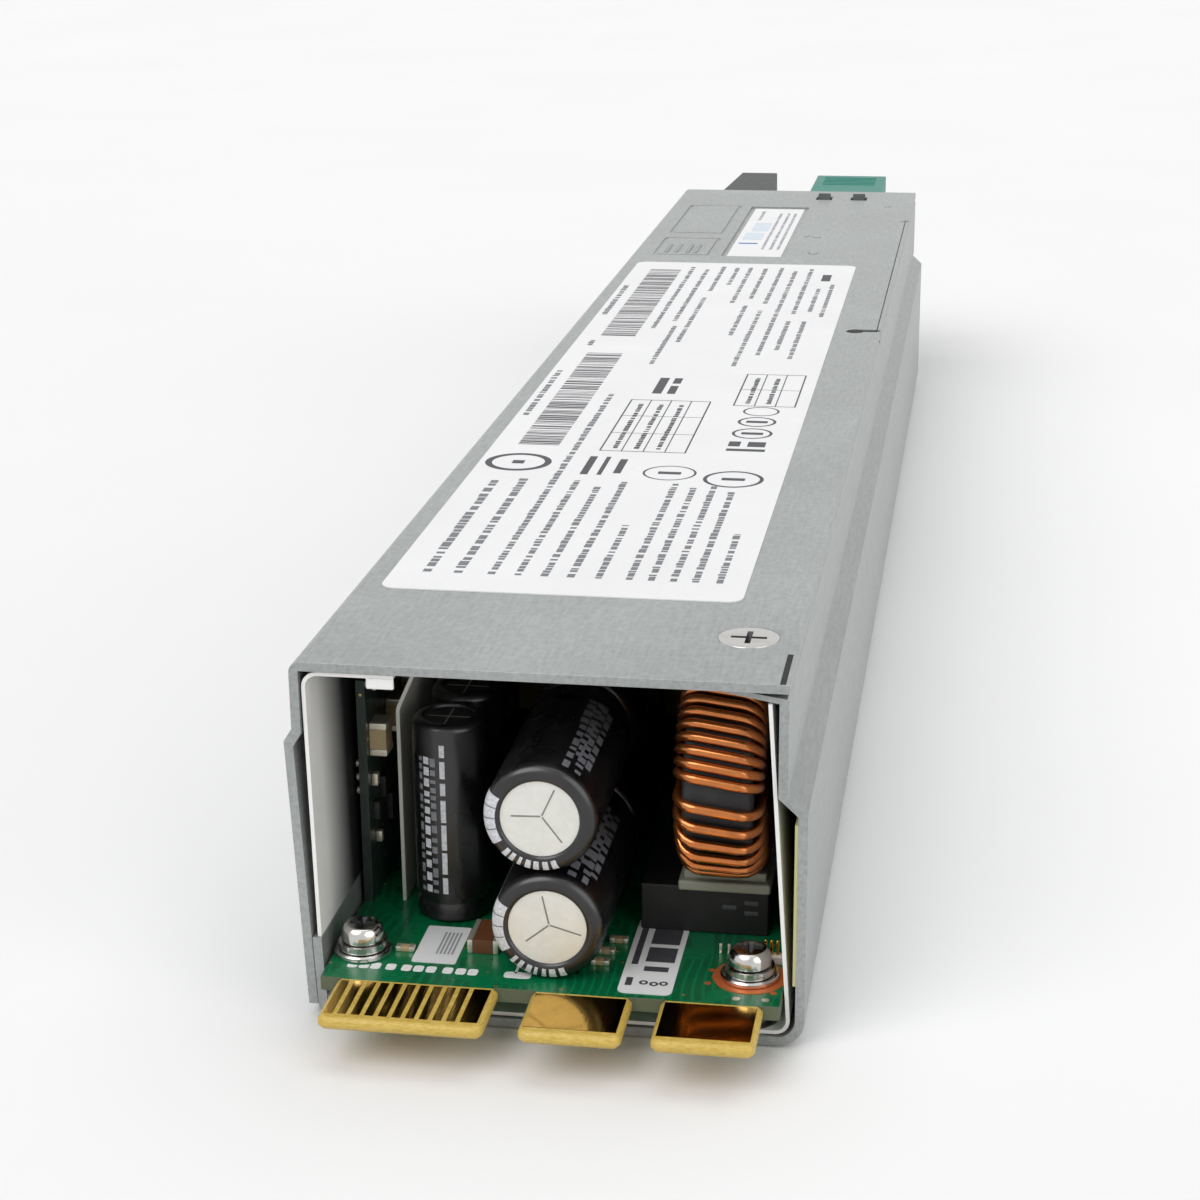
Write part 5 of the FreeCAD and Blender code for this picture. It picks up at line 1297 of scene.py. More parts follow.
    def table(self, shape: Shape, dice: random.Random, box: Sequence[float], columns: int,
              rows: int) -> None:
        """Rule one table with a greeked line beside each upright.

        Args:
            shape: The mesh to add to.
            dice: The source of uneven lengths.
            box: Its two sides, its start and its end.
            columns: How many columns it has.
            rows: How many rows it has.
        """
        low, high, start, end = box
        self.frame_line(shape, (low, self.near + start), (high, self.near + end), 0.22)
        for number in range(1, columns):
            x = low + (high - low) * number / columns
            self.mark(shape, x, x + self.rule, start, end)
            self.row(shape, dice, x - 1.0, start + 1.5, end - 2.5, 0.8)
        for number in range(1, rows):
            y = start + (end - start) * number / rows
            self.mark(shape, low, high, y, y + self.rule)

    def make(self) -> None:
        """Dress both labels and lay their print."""
        dress(Finishes.label, "small_label")
        low, high = node_box("main_label")
        sheet = Shape().using(Finishes.label)
        sheet.card((self.sheet[0], self.sheet[1], low.z), (self.sheet[2], high.y, high.z), 1.7)
        sheet.piece("main_label_sheet", replaces=["main_label"], slot="label_white")
        dice = random.Random(self.seed)
        self.top = high.z + self.lift
        self.large(dice)
        self.top = node_box("small_label")[1].z + self.lift
        self.small(dice)

    def large(self, dice: random.Random) -> None:
        """Lay the large label's print.

        Args:
            dice: The source of uneven lengths.
        """
        shape = Shape().using(Finishes.mid_ink)
        for x, start, end, height in self.lines:
            self.row(shape, dice, x, start, end, height)
        shape.using(Finishes.ink)
        for stripe in self.stripes:
            self.code(shape, dice, stripe)
        for x, place, inner, outer in self.rings:
            shape.ring((x, self.near + place), inner, outer, self.top)
        for bar in self.bars:
            self.mark(shape, *bar)
        for *box, columns, rows in self.tables:
            self.table(shape, dice, box, columns, rows)
        for x, place in self.ring_bars:
            self.mark(shape, x - 1.5, x + 1.5, place - 0.6, place + 0.6)
        shape.piece("main_label_print", slot="label_white", flat=True)

    def small(self, dice: random.Random) -> None:
        """Lay the small label's print.

        Args:
            dice: The source of uneven lengths.
        """
        shape = Shape().using(Finishes.blue_ink)
        self.mark(shape, -6.6, -2.9, 245.6, 246.8)
        shape.using(Finishes.band_ink)
        self.mark(shape, -6.4, -2.6, 250.0, 258.0)
        self.mark(shape, -5.6, -2.2, 260.0, 270.0)
        shape.using(Finishes.pale_ink)
        for x, start, end, height in self.small_lines:
            self.row(shape, dice, x, start, end, height)
        shape.piece("small_label_print", slot="label_white", flat=True)


@dataclass
class CardEdge:
    """Board, gold fingers, silk screen, pad ring and front stickers."""

    dash_place: float = -154.7
    dash_half: float = 0.72
    nose_inset: float = 1.0
    dash_starts: tuple[float, ...] = (-21.3, -20.05, -18.8, -17.15, -15.45, -14.15, -12.8, -11.0,
                                      -9.6, -8.3)
    dash_length: float = 1.08
    long_dash: tuple[float, float] = (-4.4, -1.5)
    test_pads: tuple[tuple[Finish, float, tuple[tuple[float, float], ...]], ...] = (
        (Finishes.tin, 0.42, ((20.3, -156.6), (23.3, -156.5))),
        (Finishes.pad_ring, 0.36, ((17.0, -153.6), (17.1, -150.6), (24.0, -154.9))))
    chip_parts: tuple[tuple[float, float, float], ...] = (
        (-16.0, -150.6, 0.8), (-7.6, -144.0, 1.0), (5.2, -150.8, 0.8), (5.4, -148.2, 0.8),
        (6.4, -145.4, 0.8))
    lift: float = 0.015
    sticker_longer: float = 3.6
    sticker_marks: tuple[tuple[float, float, float, float], ...] = (
        (8.5, -150.6, 9.2, -142.0), (9.9, -145.6, 13.0, -141.4), (9.9, -149.8, 13.0, -146.4),
        (10.0, -152.0, 12.6, -150.9), (8.5, -155.4, 9.2, -153.6))
    sticker_rings: tuple[tuple[float, float], ...] = ((10.4, -154.6), (11.5, -154.8), (12.5, -154.6))

    def make(self) -> None:
        """Dress the board and lay everything that is printed or plated on its front."""
        box_low, box_high = node_box("main_board")
        shape = Shape().using(Finishes.board).take("main_board")
        for vert in shape.bm.verts:
            if vert.co.x < box_low.x + 0.5 and vert.co.y < 0.0:
                vert.co.x += self.nose_inset
        shape.soften(0.12, 1)
        shape.piece("main_board_sheet", replaces=["main_board"], slot="board_green")
        gold = Shape().using(Finishes.gold).take("edge_contacts").soften(0.03, 1)
        gold.piece("edge_contact_plates", replaces=["edge_contacts"], slot="contact_gold")
        self.rings()
        self.silk(box_high.z + self.lift)
        self.chips(box_high.z)
        self.stickers()

    def silk(self, height: float) -> None:
        """Lay the silk dashes, bare traces and test pads.

        Args:
            height: How high the print lies.
        """
        silk = Shape().using(Finishes.silk)
        low, high = self.dash_place - self.dash_half, self.dash_place + self.dash_half
        for start in self.dash_starts:
            self.stadium(silk, start, start + self.dash_length, low, high, height)
        self.stadium(silk, *self.long_dash, low, high, height)
        silk.plate((-3.4, -154.3), (-3.1, -152.2), height)
        silk.using(Finishes.gold)
        silk.plate((-2.9, -153.5), (3.3, -153.15), height)
        silk.plate((2.95, -153.5), (3.3, -151.4), height)
        for finish, radius, spots in self.test_pads:
            silk.using(finish)
            for spot in spots:
                silk.ring(spot, 0.02, radius, height, 20)
        silk.piece("board_silk_screen", slot="board_green", flat=True)

    def rings(self) -> None:
        """Lay the screws' pads, bare copper at the right and under mask elsewhere."""
        low, high = node_box("earth_rings")
        shape = Shape()
        for x, y in Screws.spots():
            shape.using(Finishes.pad_ring if x > 0 else Finishes.ring_mask)
            radius = 3.9 if x > 0 else 3.2
            shape.turned([(1.55, low.z), (radius, low.z), (radius, high.z - 0.03),
                          (radius - 0.06, high.z), (1.55, high.z), (1.55, low.z)], (x, y, 0.0), Axis.Z)
        shape.piece("earth_pads", replaces=["earth_rings"], slot="ring_copper")

    @staticmethod
    def stadium(shape: Shape, start: float, end: float, low: float, high: float,
                height: float) -> None:
        """Lay one silk dash with rounded ends.

        Args:
            shape: The mesh to add to.
            start: Its left end.
            end: Its right end.
            low: Its near side.
            high: Its far side.
            height: How high it lies.
        """
        verts = shape.plate((start, low), (end, high), height)
        shape.painted(shape.bevel(verts, min(high - low, end - start) * 0.3, 3, "VERTICES")["verts"])

    def chips(self, top: float) -> None:
        """Add small chip parts with tinned ends along the front of the board.

        Args:
            top: The height of the board's face.
        """
        shape = Shape()
        for x, y, long in self.chip_parts:
            shape.using(Finishes.chip_beige)
            shape.block((x - long * 0.6, y - 0.45, top), (x + long * 0.6, y + 0.45, top + 0.55), 0.08)
            shape.using(Finishes.tin)
            for side in (-1, 1):
                middle = x + side * long * 0.9
                shape.block((middle - 0.3, y - 0.5, top), (middle + 0.3, y + 0.5, top + 0.6), 0.12)
        shape.piece("board_chip_parts", slot="chip_beige")

    def stickers(self) -> None:
        """Dress the stickers and give them plain marks."""
        source = Shape().take("board_stickers")
        paper = Shape().using(Finishes.sticker)
        for side, longer in ((-1, 0.0), (1, self.sticker_longer)):
            spots = [vert.co for vert in source.bm.verts if vert.co.x * side > 0]
            low = [min(spot[axis] for spot in spots) for axis in range(3)]
            high = [max(spot[axis] for spot in spots) for axis in range(3)]
            paper.card(low, (high[0], high[1] + longer, high[2]), 0.25 if side < 0 else 0.8)
        source.bm.free()
        paper.piece("board_sticker_sheets", replaces=["board_stickers"], slot="label_white")
        height = node_box("board_stickers")[1].z + self.lift
        shape = Shape().using(Finishes.pale_ink)
        for number in range(5):
            x = -12.6 + number * 0.42
            shape.plate((x, -151.2), (x + 0.22, -146.0), height)
        shape.using(Finishes.ink)
        for left, near, right, far in self.sticker_marks:
            shape.plate((left, near), (right, far), height)
        for spot in self.sticker_rings:
            shape.ring(spot, 0.22, 0.48, height, 20)
        shape.piece("sticker_marks", slot="label_white", flat=True)


@dataclass
class LyingCapacitors:
    """Four lying capacitors: cans with vent grooves in sleeves that roll over their rims."""

    radius: float = 6.0
    length: float = 25.0
    face: float = 4.15
    groove: float = 0.16
    upper_shift: float = -0.6
    vent_turns: tuple[float, float] = (-12.0, 25.0)
    vent_arms: tuple[tuple[float, float], ...] = ((0.0, 3.3), (118.0, 3.5), (243.0, 3.2))
    seed: int = 3

    def make(self) -> None:
        """Build the two rows of two."""
        low, high = node_box("output_cap_sleeves")
        x = (low.x + high.x) / 2
        self.radius = (high.x - low.x) / 2
        sleeves, cans, marks = Shape(), Shape(), Shape()
        dice = random.Random(self.seed)
        for row, y in enumerate((low.y, high.y - self.length)):
            for level, z in enumerate((low.z + self.radius, high.z - self.radius)):
                spot = (x + self.upper_shift * level, y, z)
                self.one(sleeves, cans, spot)
                if row == 0:
                    self.vent(cans, spot, self.vent_turns[level])
                    self.stripe(marks, dice, spot)
        sleeves.piece("output_cap_films", replaces=["output_cap_sleeves"], slot="sleeve_black")
        cans.piece("output_cap_tops", replaces=["output_cap_cans"], slot="can_aluminium")
        marks.piece("output_cap_marks", slot="sleeve_black", flat=True)

    def one(self, sleeves: Shape, cans: Shape, spot: Point) -> None:
        """Build one lying capacitor.

        Args:
            sleeves: The films.
            cans: The cans.
            spot: The middle of the near face.
        """
        r, face, length = self.radius, self.face, self.length
        sleeves.using(Finishes.sleeve)
        sleeves.turned([(face, 0.32), (face + 0.12, 0.12), (face + 0.4, 0.02), (r - 1.1, 0.0),
                        (r - 0.72, 0.08), (r - 0.36, 0.3), (r - 0.1, 0.68), (r, 1.2), (r, length - 3.6),
                        (r - 0.35, length - 3.0), (r - 0.35, length - 2.6), (r, length - 2.0),
                        (r, length - 0.5), (r - 0.4, length - 0.05), (face + 0.6, length - 0.02)],
                       spot, Axis.Y)
        cans.using(Finishes.can)
        cans.turned([(0.0, 0.34), (face - 0.5, 0.34), (face + 0.2, 0.36), (face + 0.2, 1.2),
                     (face + 0.2, length - 0.6)], spot, Axis.Y)
        cans.using(Finishes.bung).turned([(face + 0.7, length - 0.3), (0.0, length - 0.3)], spot, Axis.Y)

    def vent(self, cans: Shape, spot: Point, turn: float) -> None:
        """Add the three pressed grooves of the vent, as thin strips in painted shade.

        Args:
            cans: The mesh to add to.
            spot: The middle of the near face.
            turn: The angle of the first groove in degrees.
        """
        # Painted shade in the vent grooves.
        cans.using(Finishes.groove)
        middle = Matrix.Translation((spot[0] + 0.2, spot[1] + 0.31, spot[2] + 0.3))
        for angle, reach in self.vent_arms:
            verts = cans.block((-self.groove / 2, -0.01, 0.1), (self.groove / 2, 0.03, reach))
            place = middle @ Matrix.Rotation(math.radians(turn + angle), 4, "Y")
            bmesh.ops.transform(cans.bm, matrix=place, verts=verts)

    def stripe(self, marks: Shape, dice: random.Random, spot: Point) -> None:
        """Wrap the pale polarity stripe over the rim and print plain dashes beside it.

        Args:
            marks: The mesh to add to.
            dice: The source of uneven dashes.
            spot: The middle of the near face.
        """
        x, y, z = spot
        marks.using(Finishes.sleeve_mark)
        self.patch(marks, spot, 152.0, 212.0, 14.0)
        marks.using(Finishes.sleeve_pale)
        for angle in (166.0, 180.0, 194.0):
            self.patch(marks, spot, angle, angle + 1.6, 1.4, 0.03)
        marks.using(Finishes.sleeve_mark)
        angle = 224.0
        while angle < 292.0:
            width = dice.uniform(4.0, 8.0)
            self.patch(marks, spot, angle, angle + width, 0.2, 0.02, Stretch.RIM)
            angle += width + dice.uniform(3.0, 6.0)
        marks.using(Finishes.sleeve_pale)
        for start, angle in ((1.6, 48.0), (1.6, 62.0), (4.2, 40.0), (5.4, 54.0)):
            place = start
            while place < 20.0:
                run = dice.uniform(0.7, 2.0)
                end = angle + dice.choice((7.0, 9.0))
                self.patch(marks, (x, y + place, z), angle, end, run, 0.02, Stretch.SIDE)
                place += run + dice.uniform(0.4, 0.9)

    def patch(self, marks: Shape, start: Point, low: float, high: float, run: float,
              lift: float = 0.015, stretch: Stretch = Stretch.WHOLE) -> None:
        """Print one patch on a film, from its rolled rim along its side.

        Args:
            marks: The mesh to add to.
            start: The middle of the near face, or of where the patch starts.
            low: The angle where it starts.
            high: The angle where it ends.
            run: How far it goes along the side.
            lift: Its height over the film.
            stretch: Whether it lies on the rim, the side or both.
        """
        r = self.radius
        rim = [(self.face + 0.45, 0.0), (r - 1.1, 0.0), (r - 0.72, 0.08), (r - 0.36, 0.3),
               (r - 0.1, 0.68), (r, 1.2)]
        if stretch is Stretch.SIDE:
            profile = [(r, 0.0), (r, run)]
        elif stretch is Stretch.RIM:
            profile = rim[:4]
        else:
            profile = rim + ([(r, run)] if run > rim[-1][1] else [])
        across, up = math.cos(math.radians(low)), math.sin(math.radians(low))
        corners = [Vector(((radius + lift) * across, along - lift, (radius + lift) * up))
                   for radius, along in profile]
        verts = [marks.bm.verts.new(Vector(start) + corner) for corner in corners]
        edges = [marks.bm.edges.new(pair) for pair in zip(verts, verts[1:])]
        bmesh.ops.spin(marks.bm, geom=verts + edges, cent=start, axis=(0.0, -1.0, 0.0),
                       angle=math.radians(high - low), steps=max(2, int((high - low) / 5)),
                       use_merge=False, use_duplicate=False)
        for face in faces_at(marks.painted(island(verts))):
            face.normal_update()
            middle = face.calc_center_median() - Vector(start)
            out = Vector((middle.x, min(middle.y - 0.6, 0.0) * 3.0, middle.z))
            if face.normal.dot(out) < 0:
                face.normal_flip()


@dataclass
class PostCapacitors:
    """Two standing capacitors with rolled film, beaded foot and plain marks."""

    seed: int = 5
    shorter: float = 1.8
    lift: float = 0.015
    columns: tuple[tuple[float, float, Finish, float, float], ...] = (
        (238.0, 10.0, Finishes.sleeve_mark, 0.4, 1.1), (250.0, 9.0, Finishes.sleeve_pale, 0.4, 1.1),
        (266.0, 8.0, Finishes.sleeve_mark, 1.4, 3.0), (228.0, 7.0, Finishes.sleeve_pale, 0.4, 1.1))

    def make(self) -> None:
        """Build both."""
        low, high = node_box("post_cap_sleeves")
        radius = (high.x - low.x) / 2
        x = (low.x + high.x) / 2
        sleeves, cans, marks = Shape(), Shape(), Shape()
        dice = random.Random(self.seed)
        for y in (low.y + radius, high.y - radius):
            bottom, tall = low.z, high.z - low.z - self.shorter
            face = radius * 0.72
            sleeves.using(Finishes.sleeve).turned(
                [(face, 0.02), (radius - 0.4, 0.0), (radius, 0.4), (radius, 1.6), (radius - 0.3, 2.1),
                 (radius - 0.3, 2.5), (radius, 3.0), (radius, tall - 1.0), (radius - 0.12, tall - 0.5),
                 (radius - 0.42, tall - 0.14), (radius - 0.8, tall), (face, tall - 0.06),
                 (face - 0.1, tall - 0.3)], (x, y, bottom), Axis.Z)
            cans.using(Finishes.core).turned([(face + 0.1, tall - 0.32), (0.0, tall - 0.34)],
                                            (x, y, bottom), Axis.Z)
            cans.using(Finishes.bung).turned([(0.0, 0.1), (face + 0.1, 0.1)], (x, y, bottom), Axis.Z)
            cans.using(Finishes.groove)
            for turn in (0.0, math.pi / 2):
                verts = cans.block((-face * 0.8, -0.08, 0.0), (face * 0.8, 0.08, 0.04))
                place = Matrix.Translation((x, y, bottom + tall - 0.33)) @ Matrix.Rotation(turn, 4, "Z")
                bmesh.ops.transform(cans.bm, matrix=place, verts=verts)
            self.marks(marks, dice, x, y, bottom, tall, radius)
        sleeves.piece("post_cap_films", replaces=["post_cap_sleeves"], slot="sleeve_black")
        cans.piece("post_cap_tops", replaces=["post_cap_cans"], slot="can_aluminium")
        marks.piece("post_cap_marks", slot="sleeve_black")

    def marks(self, marks: Shape, dice: random.Random, x: float, y: float, bottom: float,
              tall: float, radius: float) -> None:
        """Print columns of plain dashes up the film.

        Args:
            marks: The mesh to add to.
            dice: The source of uneven lengths.
            x: The capacitor's place across.
            y: Its place along.
            bottom: The height of its foot.
            tall: How tall it is.
            radius: Its radius.
        """
        for angle, wide, finish, short, long in self.columns:
            marks.using(finish)
            across = (radius + self.lift) * math.cos(math.radians(angle))
            along = (radius + self.lift) * math.sin(math.radians(angle))
            place = 3.6
            while place < tall - 3.5:
                run = dice.uniform(short, long)
                verts = [marks.bm.verts.new((x + across, y + along, bottom + height))
                         for height in (place, place + run)]
                edge = marks.bm.edges.new(verts)
                bmesh.ops.spin(marks.bm, geom=verts + [edge], cent=(x, y, 0.0),
                               axis=(0.0, 0.0, 1.0), angle=math.radians(wide), steps=3,
                               use_merge=False, use_duplicate=False)
                marks.painted(island(verts))
                place += run + dice.uniform(0.3, 0.6)


@dataclass
class OutputChoke:
    """Wound ring: enamelled turns round a ferrite core, with one place left open at mid height."""

    wire: float = 0.56
    clearance: float = 0.06
    pitch: float = 7.3
    low_pitch: float = 11.5
    upper: float = 13.0
    lower: float = -3.0
    turns_up: int = 22
    turns_down: int = 14
    slant: float = 8.0
    corner: float = 2.3
    plate_left: float = 12.5
    # Painted shadow: the module case reaches this far left, beyond the module itself.
    module_shade_left: float = 8.3
    module_back: float = 4.4
    leads_left: float = 17.4
    leads_pitch: float = 0.9
    plate_back: float = 3.4
    hole: float = 4.8

    def turn(self, shape: Shape, half: float, outer: float, inner: float) -> Verts:
        """Bend one closed turn round the core's section, at the side that faces the card edge.

        Args:
            shape: The mesh to add to.
            half: Half the turn's width along the ring's axis.
            outer: The radius of its outer run.
            inner: The radius of its inner run.

        Returns:
            The turn's vertices.
        """
        corners = [Vector(corner) for corner in
                   ((-half, outer), (half, outer), (half, inner), (-half, inner))]
        spots: list[Vector] = []
        for number, corner in enumerate(corners):
            before = (corners[number - 1] - corner).normalized() * self.corner
            after = (corners[(number + 1) % 4] - corner).normalized() * self.corner
            spots += [self.arc(corner + before, corner + after, corner + before + after, step / 5)
                      for step in range(6)]
        rings: list[list[bmesh.types.BMEdge]] = []
        found: Verts = []
        count = len(spots)
        for number, (x, r) in enumerate(spots):
            ahead = spots[(number + 1) % count] - spots[number - 1]
            turn = Vector((ahead.x, -ahead.y, 0.0)).to_track_quat("Z", "Y").to_matrix().to_4x4()
            verts = bmesh.ops.create_circle(shape.bm, cap_ends=False, segments=10, radius=self.wire,
                                            matrix=Matrix.Translation((x, -r, 0.0)) @ turn)["verts"]
            found += verts
            rings.append(edges_at(verts))
        for number, ring in enumerate(rings):
            bmesh.ops.bridge_loops(shape.bm, edges=rings[number - 1] + ring)
        return shape.painted(found)

    @staticmethod
    def arc(first: Vector, last: Vector, middle: Vector, share: float) -> Vector:
        """A point of the corner between two straight runs."""
        start, end = first - middle, last - middle
        angle = math.pi / 2 * share
        return middle + start * math.cos(angle) + end * math.sin(angle)

    def make(self) -> None:
        """Wind both halves and dress the core, base and driver module."""
        low, high = node_box("output_choke_core")
        centre = (low + high) / 2
        half = (high.x - low.x) / 2
        radius = (high.z - low.z) / 2
        shape = Shape().using(Finishes.enamel)
        angles = [self.upper + self.pitch * number for number in range(self.turns_up)]
        angles += [self.lower - self.low_pitch * number for number in range(self.turns_down)]
        gap = self.wire + self.clearance
        for number, angle in enumerate(angles):
            inner = self.hole - gap - (0.0 if number % 2 else self.wire * 1.7)
            verts = self.turn(shape, half + gap, radius + gap, inner)
            place = (Matrix.Translation(centre) @ Matrix.Rotation(math.radians(-angle), 4, "X")
                     @ Matrix.Rotation(math.radians(self.slant), 4, "Y"))
            bmesh.ops.transform(shape.bm, matrix=place, verts=verts)
        shape.piece("output_choke_turns", replaces=["output_choke_coil"], slot="coil_copper",
                    smooth=60.0)
        core = Shape().using(Finishes.core).take("output_choke_core").soften(0.6, 3)
        core.piece("output_choke_ring", replaces=["output_choke_core"], slot="core_grey")
        self.cradle()
        self.module()

    def cradle(self) -> None:
        """Lay the choke's base plate with its two raised bars."""
        low, high = node_box("output_choke_base")
        base = Shape().using(Finishes.base)
        base.block((self.plate_left, low.y + self.plate_back, high.z - 1.3),
                   (high.x, high.y, high.z - 0.1), 0.3, 3)
        for y in (low.y + self.plate_back + 0.8, high.y - 2.0):
            base.block((self.plate_left + 0.5, y, high.z - 0.4), (high.x - 0.5, y + 1.2, high.z + 0.9), 0.3)
        base.piece("output_choke_cradle", replaces=["output_choke_base"], slot="moulded_grey")

    def module(self) -> None:
        """Build the driver module with its row of leads and its top chips; its case reaches left and back over
        shaded board as painted shadow.
        """
        low, high = node_box("driver_module")
        shape = Shape().using(Finishes.module)
        front = low.y + self.module_back
        # Painted shadow: the case reaches left of the module and 4 mm back behind it, over shaded board.
        shape.block((self.module_shade_left, front, low.z), (high.x, high.y + 4.0, high.z), 0.22)
        shape.using(Finishes.dim_ink)
        for x, y in ((19.6, 9.6), (19.6, 8.4), (17.2, 9.0)):
            shape.block((x, front - 0.05, y), (x + 1.5, front + 0.2, y + 0.5), 0.04)
        shape.using(Finishes.tin)
        for number in range(int((high.x - self.leads_left) / self.leads_pitch)):
            x = self.leads_left + number * self.leads_pitch
            shape.block((x, low.y - 0.35, low.z), (x + 0.3, low.y + 0.05, low.z + 0.18), 0.03)
            shape.block((x, low.y - 0.12, low.z + 0.1), (x + 0.3, low.y + 0.05, low.z + 1.1), 0.03)
        shape.piece("driver_module_case", replaces=["driver_module"], slot="moulded_black")
        pins = Shape().using(Finishes.gold)
        low, high = node_box("sense_pins")
        pins.take("sense_pins").soften(0.08, 1)
        pins.using(Finishes.white).block((low.x - 0.3, low.y - 0.45, low.z),
                                         (high.x + 0.1, high.y + 0.45, low.z + 0.9), 0.1)
        pins.piece("sense_pin_row", replaces=["sense_pins"], slot="contact_gold")


@dataclass
class Screws:
    """Pan-head board screws on split lock washers and flat washers."""

    seed: int = 11
    lower: float = 0.35
    steps: int = 40

    def make(self) -> None:
        """Build every board screw and its washers from the frame's places."""
        heads, locks, flats = Shape(), Shape(), Shape()
        dice = random.Random(self.seed)
        top = node_box("board_screws")[1].z - self.lower
        foot, under, over = (height.z for height in (*node_box("flat_washers"),
                                                     node_box("lock_washers")[1]))
        for x, y in self.spots():
            self.head(heads, x, y, over, top)
            self.split(locks, x, y, node_box("lock_washers")[0].z, over, dice.uniform(30.0, 120.0))
            flats.using(Finishes.screw).turned(
                [(1.55, foot + 0.02), (2.95, foot), (3.1, foot + 0.12), (3.1, under - 0.14),
                 (2.95, under), (1.55, under), (1.55, foot + 0.02)], (x, y, 0.0), Axis.Z)
        heads.piece("board_screw_heads", replaces=["board_screws"], slot="screw_steel", smooth=32.0)
        locks.piece("split_washers", replaces=["lock_washers"], slot="screw_steel")
        flats.piece("plain_washers", replaces=["flat_washers"], slot="screw_steel")

    @staticmethod
    def spots() -> list[tuple[float, float]]:
        """The four screws' axes, read from the frame's flat washers."""
        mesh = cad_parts["flat_washers"].data
        low, high = node_box("flat_washers")
        middle = ((low.x + high.x) / 2, (low.y + high.y) / 2)
        spots = []
        for side in (-1, 1):
            for end in (-1, 1):
                inside = [vert.co / MM for vert in mesh.vertices
                          if (vert.co.x / MM - middle[0]) * side > 0
                          and (vert.co.y / MM - middle[1]) * end > 0]
                xs = [spot.x for spot in inside]
                ys = [spot.y for spot in inside]
                spots.append(((min(xs) + max(xs)) / 2, (min(ys) + max(ys)) / 2))
        return spots

    def head(self, shape: Shape, x: float, y: float, low: float, top: float) -> None:
        """Build one pan head with its cross recess and its shank.

        Args:
            shape: The mesh to add to.
            x: The screw's place across.
            y: Its place along.
            low: The height of the head's underside.
            top: The height of its face.
        """
        shape.using(Finishes.screw)
        bottom = node_box("board_screws")[0].z
        shape.turned([(0.0, bottom), (1.2, bottom), (1.5, bottom + 0.3), (1.5, low), (2.12, low),
                      (2.25, low + 0.12), (2.28, low + 0.7), (2.24, low + 1.05), (2.12, low + 1.4),
                      (1.93, top - 0.18), (1.74, top - 0.03), (1.66, top)], (x, y, 0.0), Axis.Z)
        cross_head(shape, (x, y), top, 1.66, 1.3, 0.3, 0.9)

    def split(self, shape: Shape, x: float, y: float, low: float, high: float, turn: float) -> None:
        """Build one split washer: a square wire turned once, its ends a little apart.

        Args:
            shape: The mesh to add to.
            x: The washer's place across.
            y: Its place along.
            low: The height of its underside.
            high: The height of its top.
            turn: Where its ends lie, in degrees.
        """
        shape.using(Finishes.screw)
        middle = (low + high) / 2
        tall = (high - low) * 0.8
        verts = shape.block((1.62, -0.02, middle - tall / 2), (2.6, 0.02, middle + tall / 2))
        faces = [face for face in faces_at(verts) if face.calc_center_median().y > 0.01]
        bmesh.ops.spin(shape.bm, geom=faces, cent=(0.0, 0.0, 0.0), axis=(0.0, 0.0, 1.0),
                       dvec=(0.0, 0.0, (high - low) * 0.2 / self.steps), angle=math.radians(350),
                       steps=self.steps, use_merge=False, use_duplicate=False)
        grown = island(verts)
        bmesh.ops.delete(shape.bm, geom=[face for face in faces if face.is_valid],
                         context="FACES_ONLY")
        place = (Matrix.Translation((x, y, -(high - low) * 0.1))
                 @ Matrix.Rotation(math.radians(turn), 4, "Z"))
        bmesh.ops.transform(shape.bm, matrix=place, verts=grown)
        shape.painted(grown)


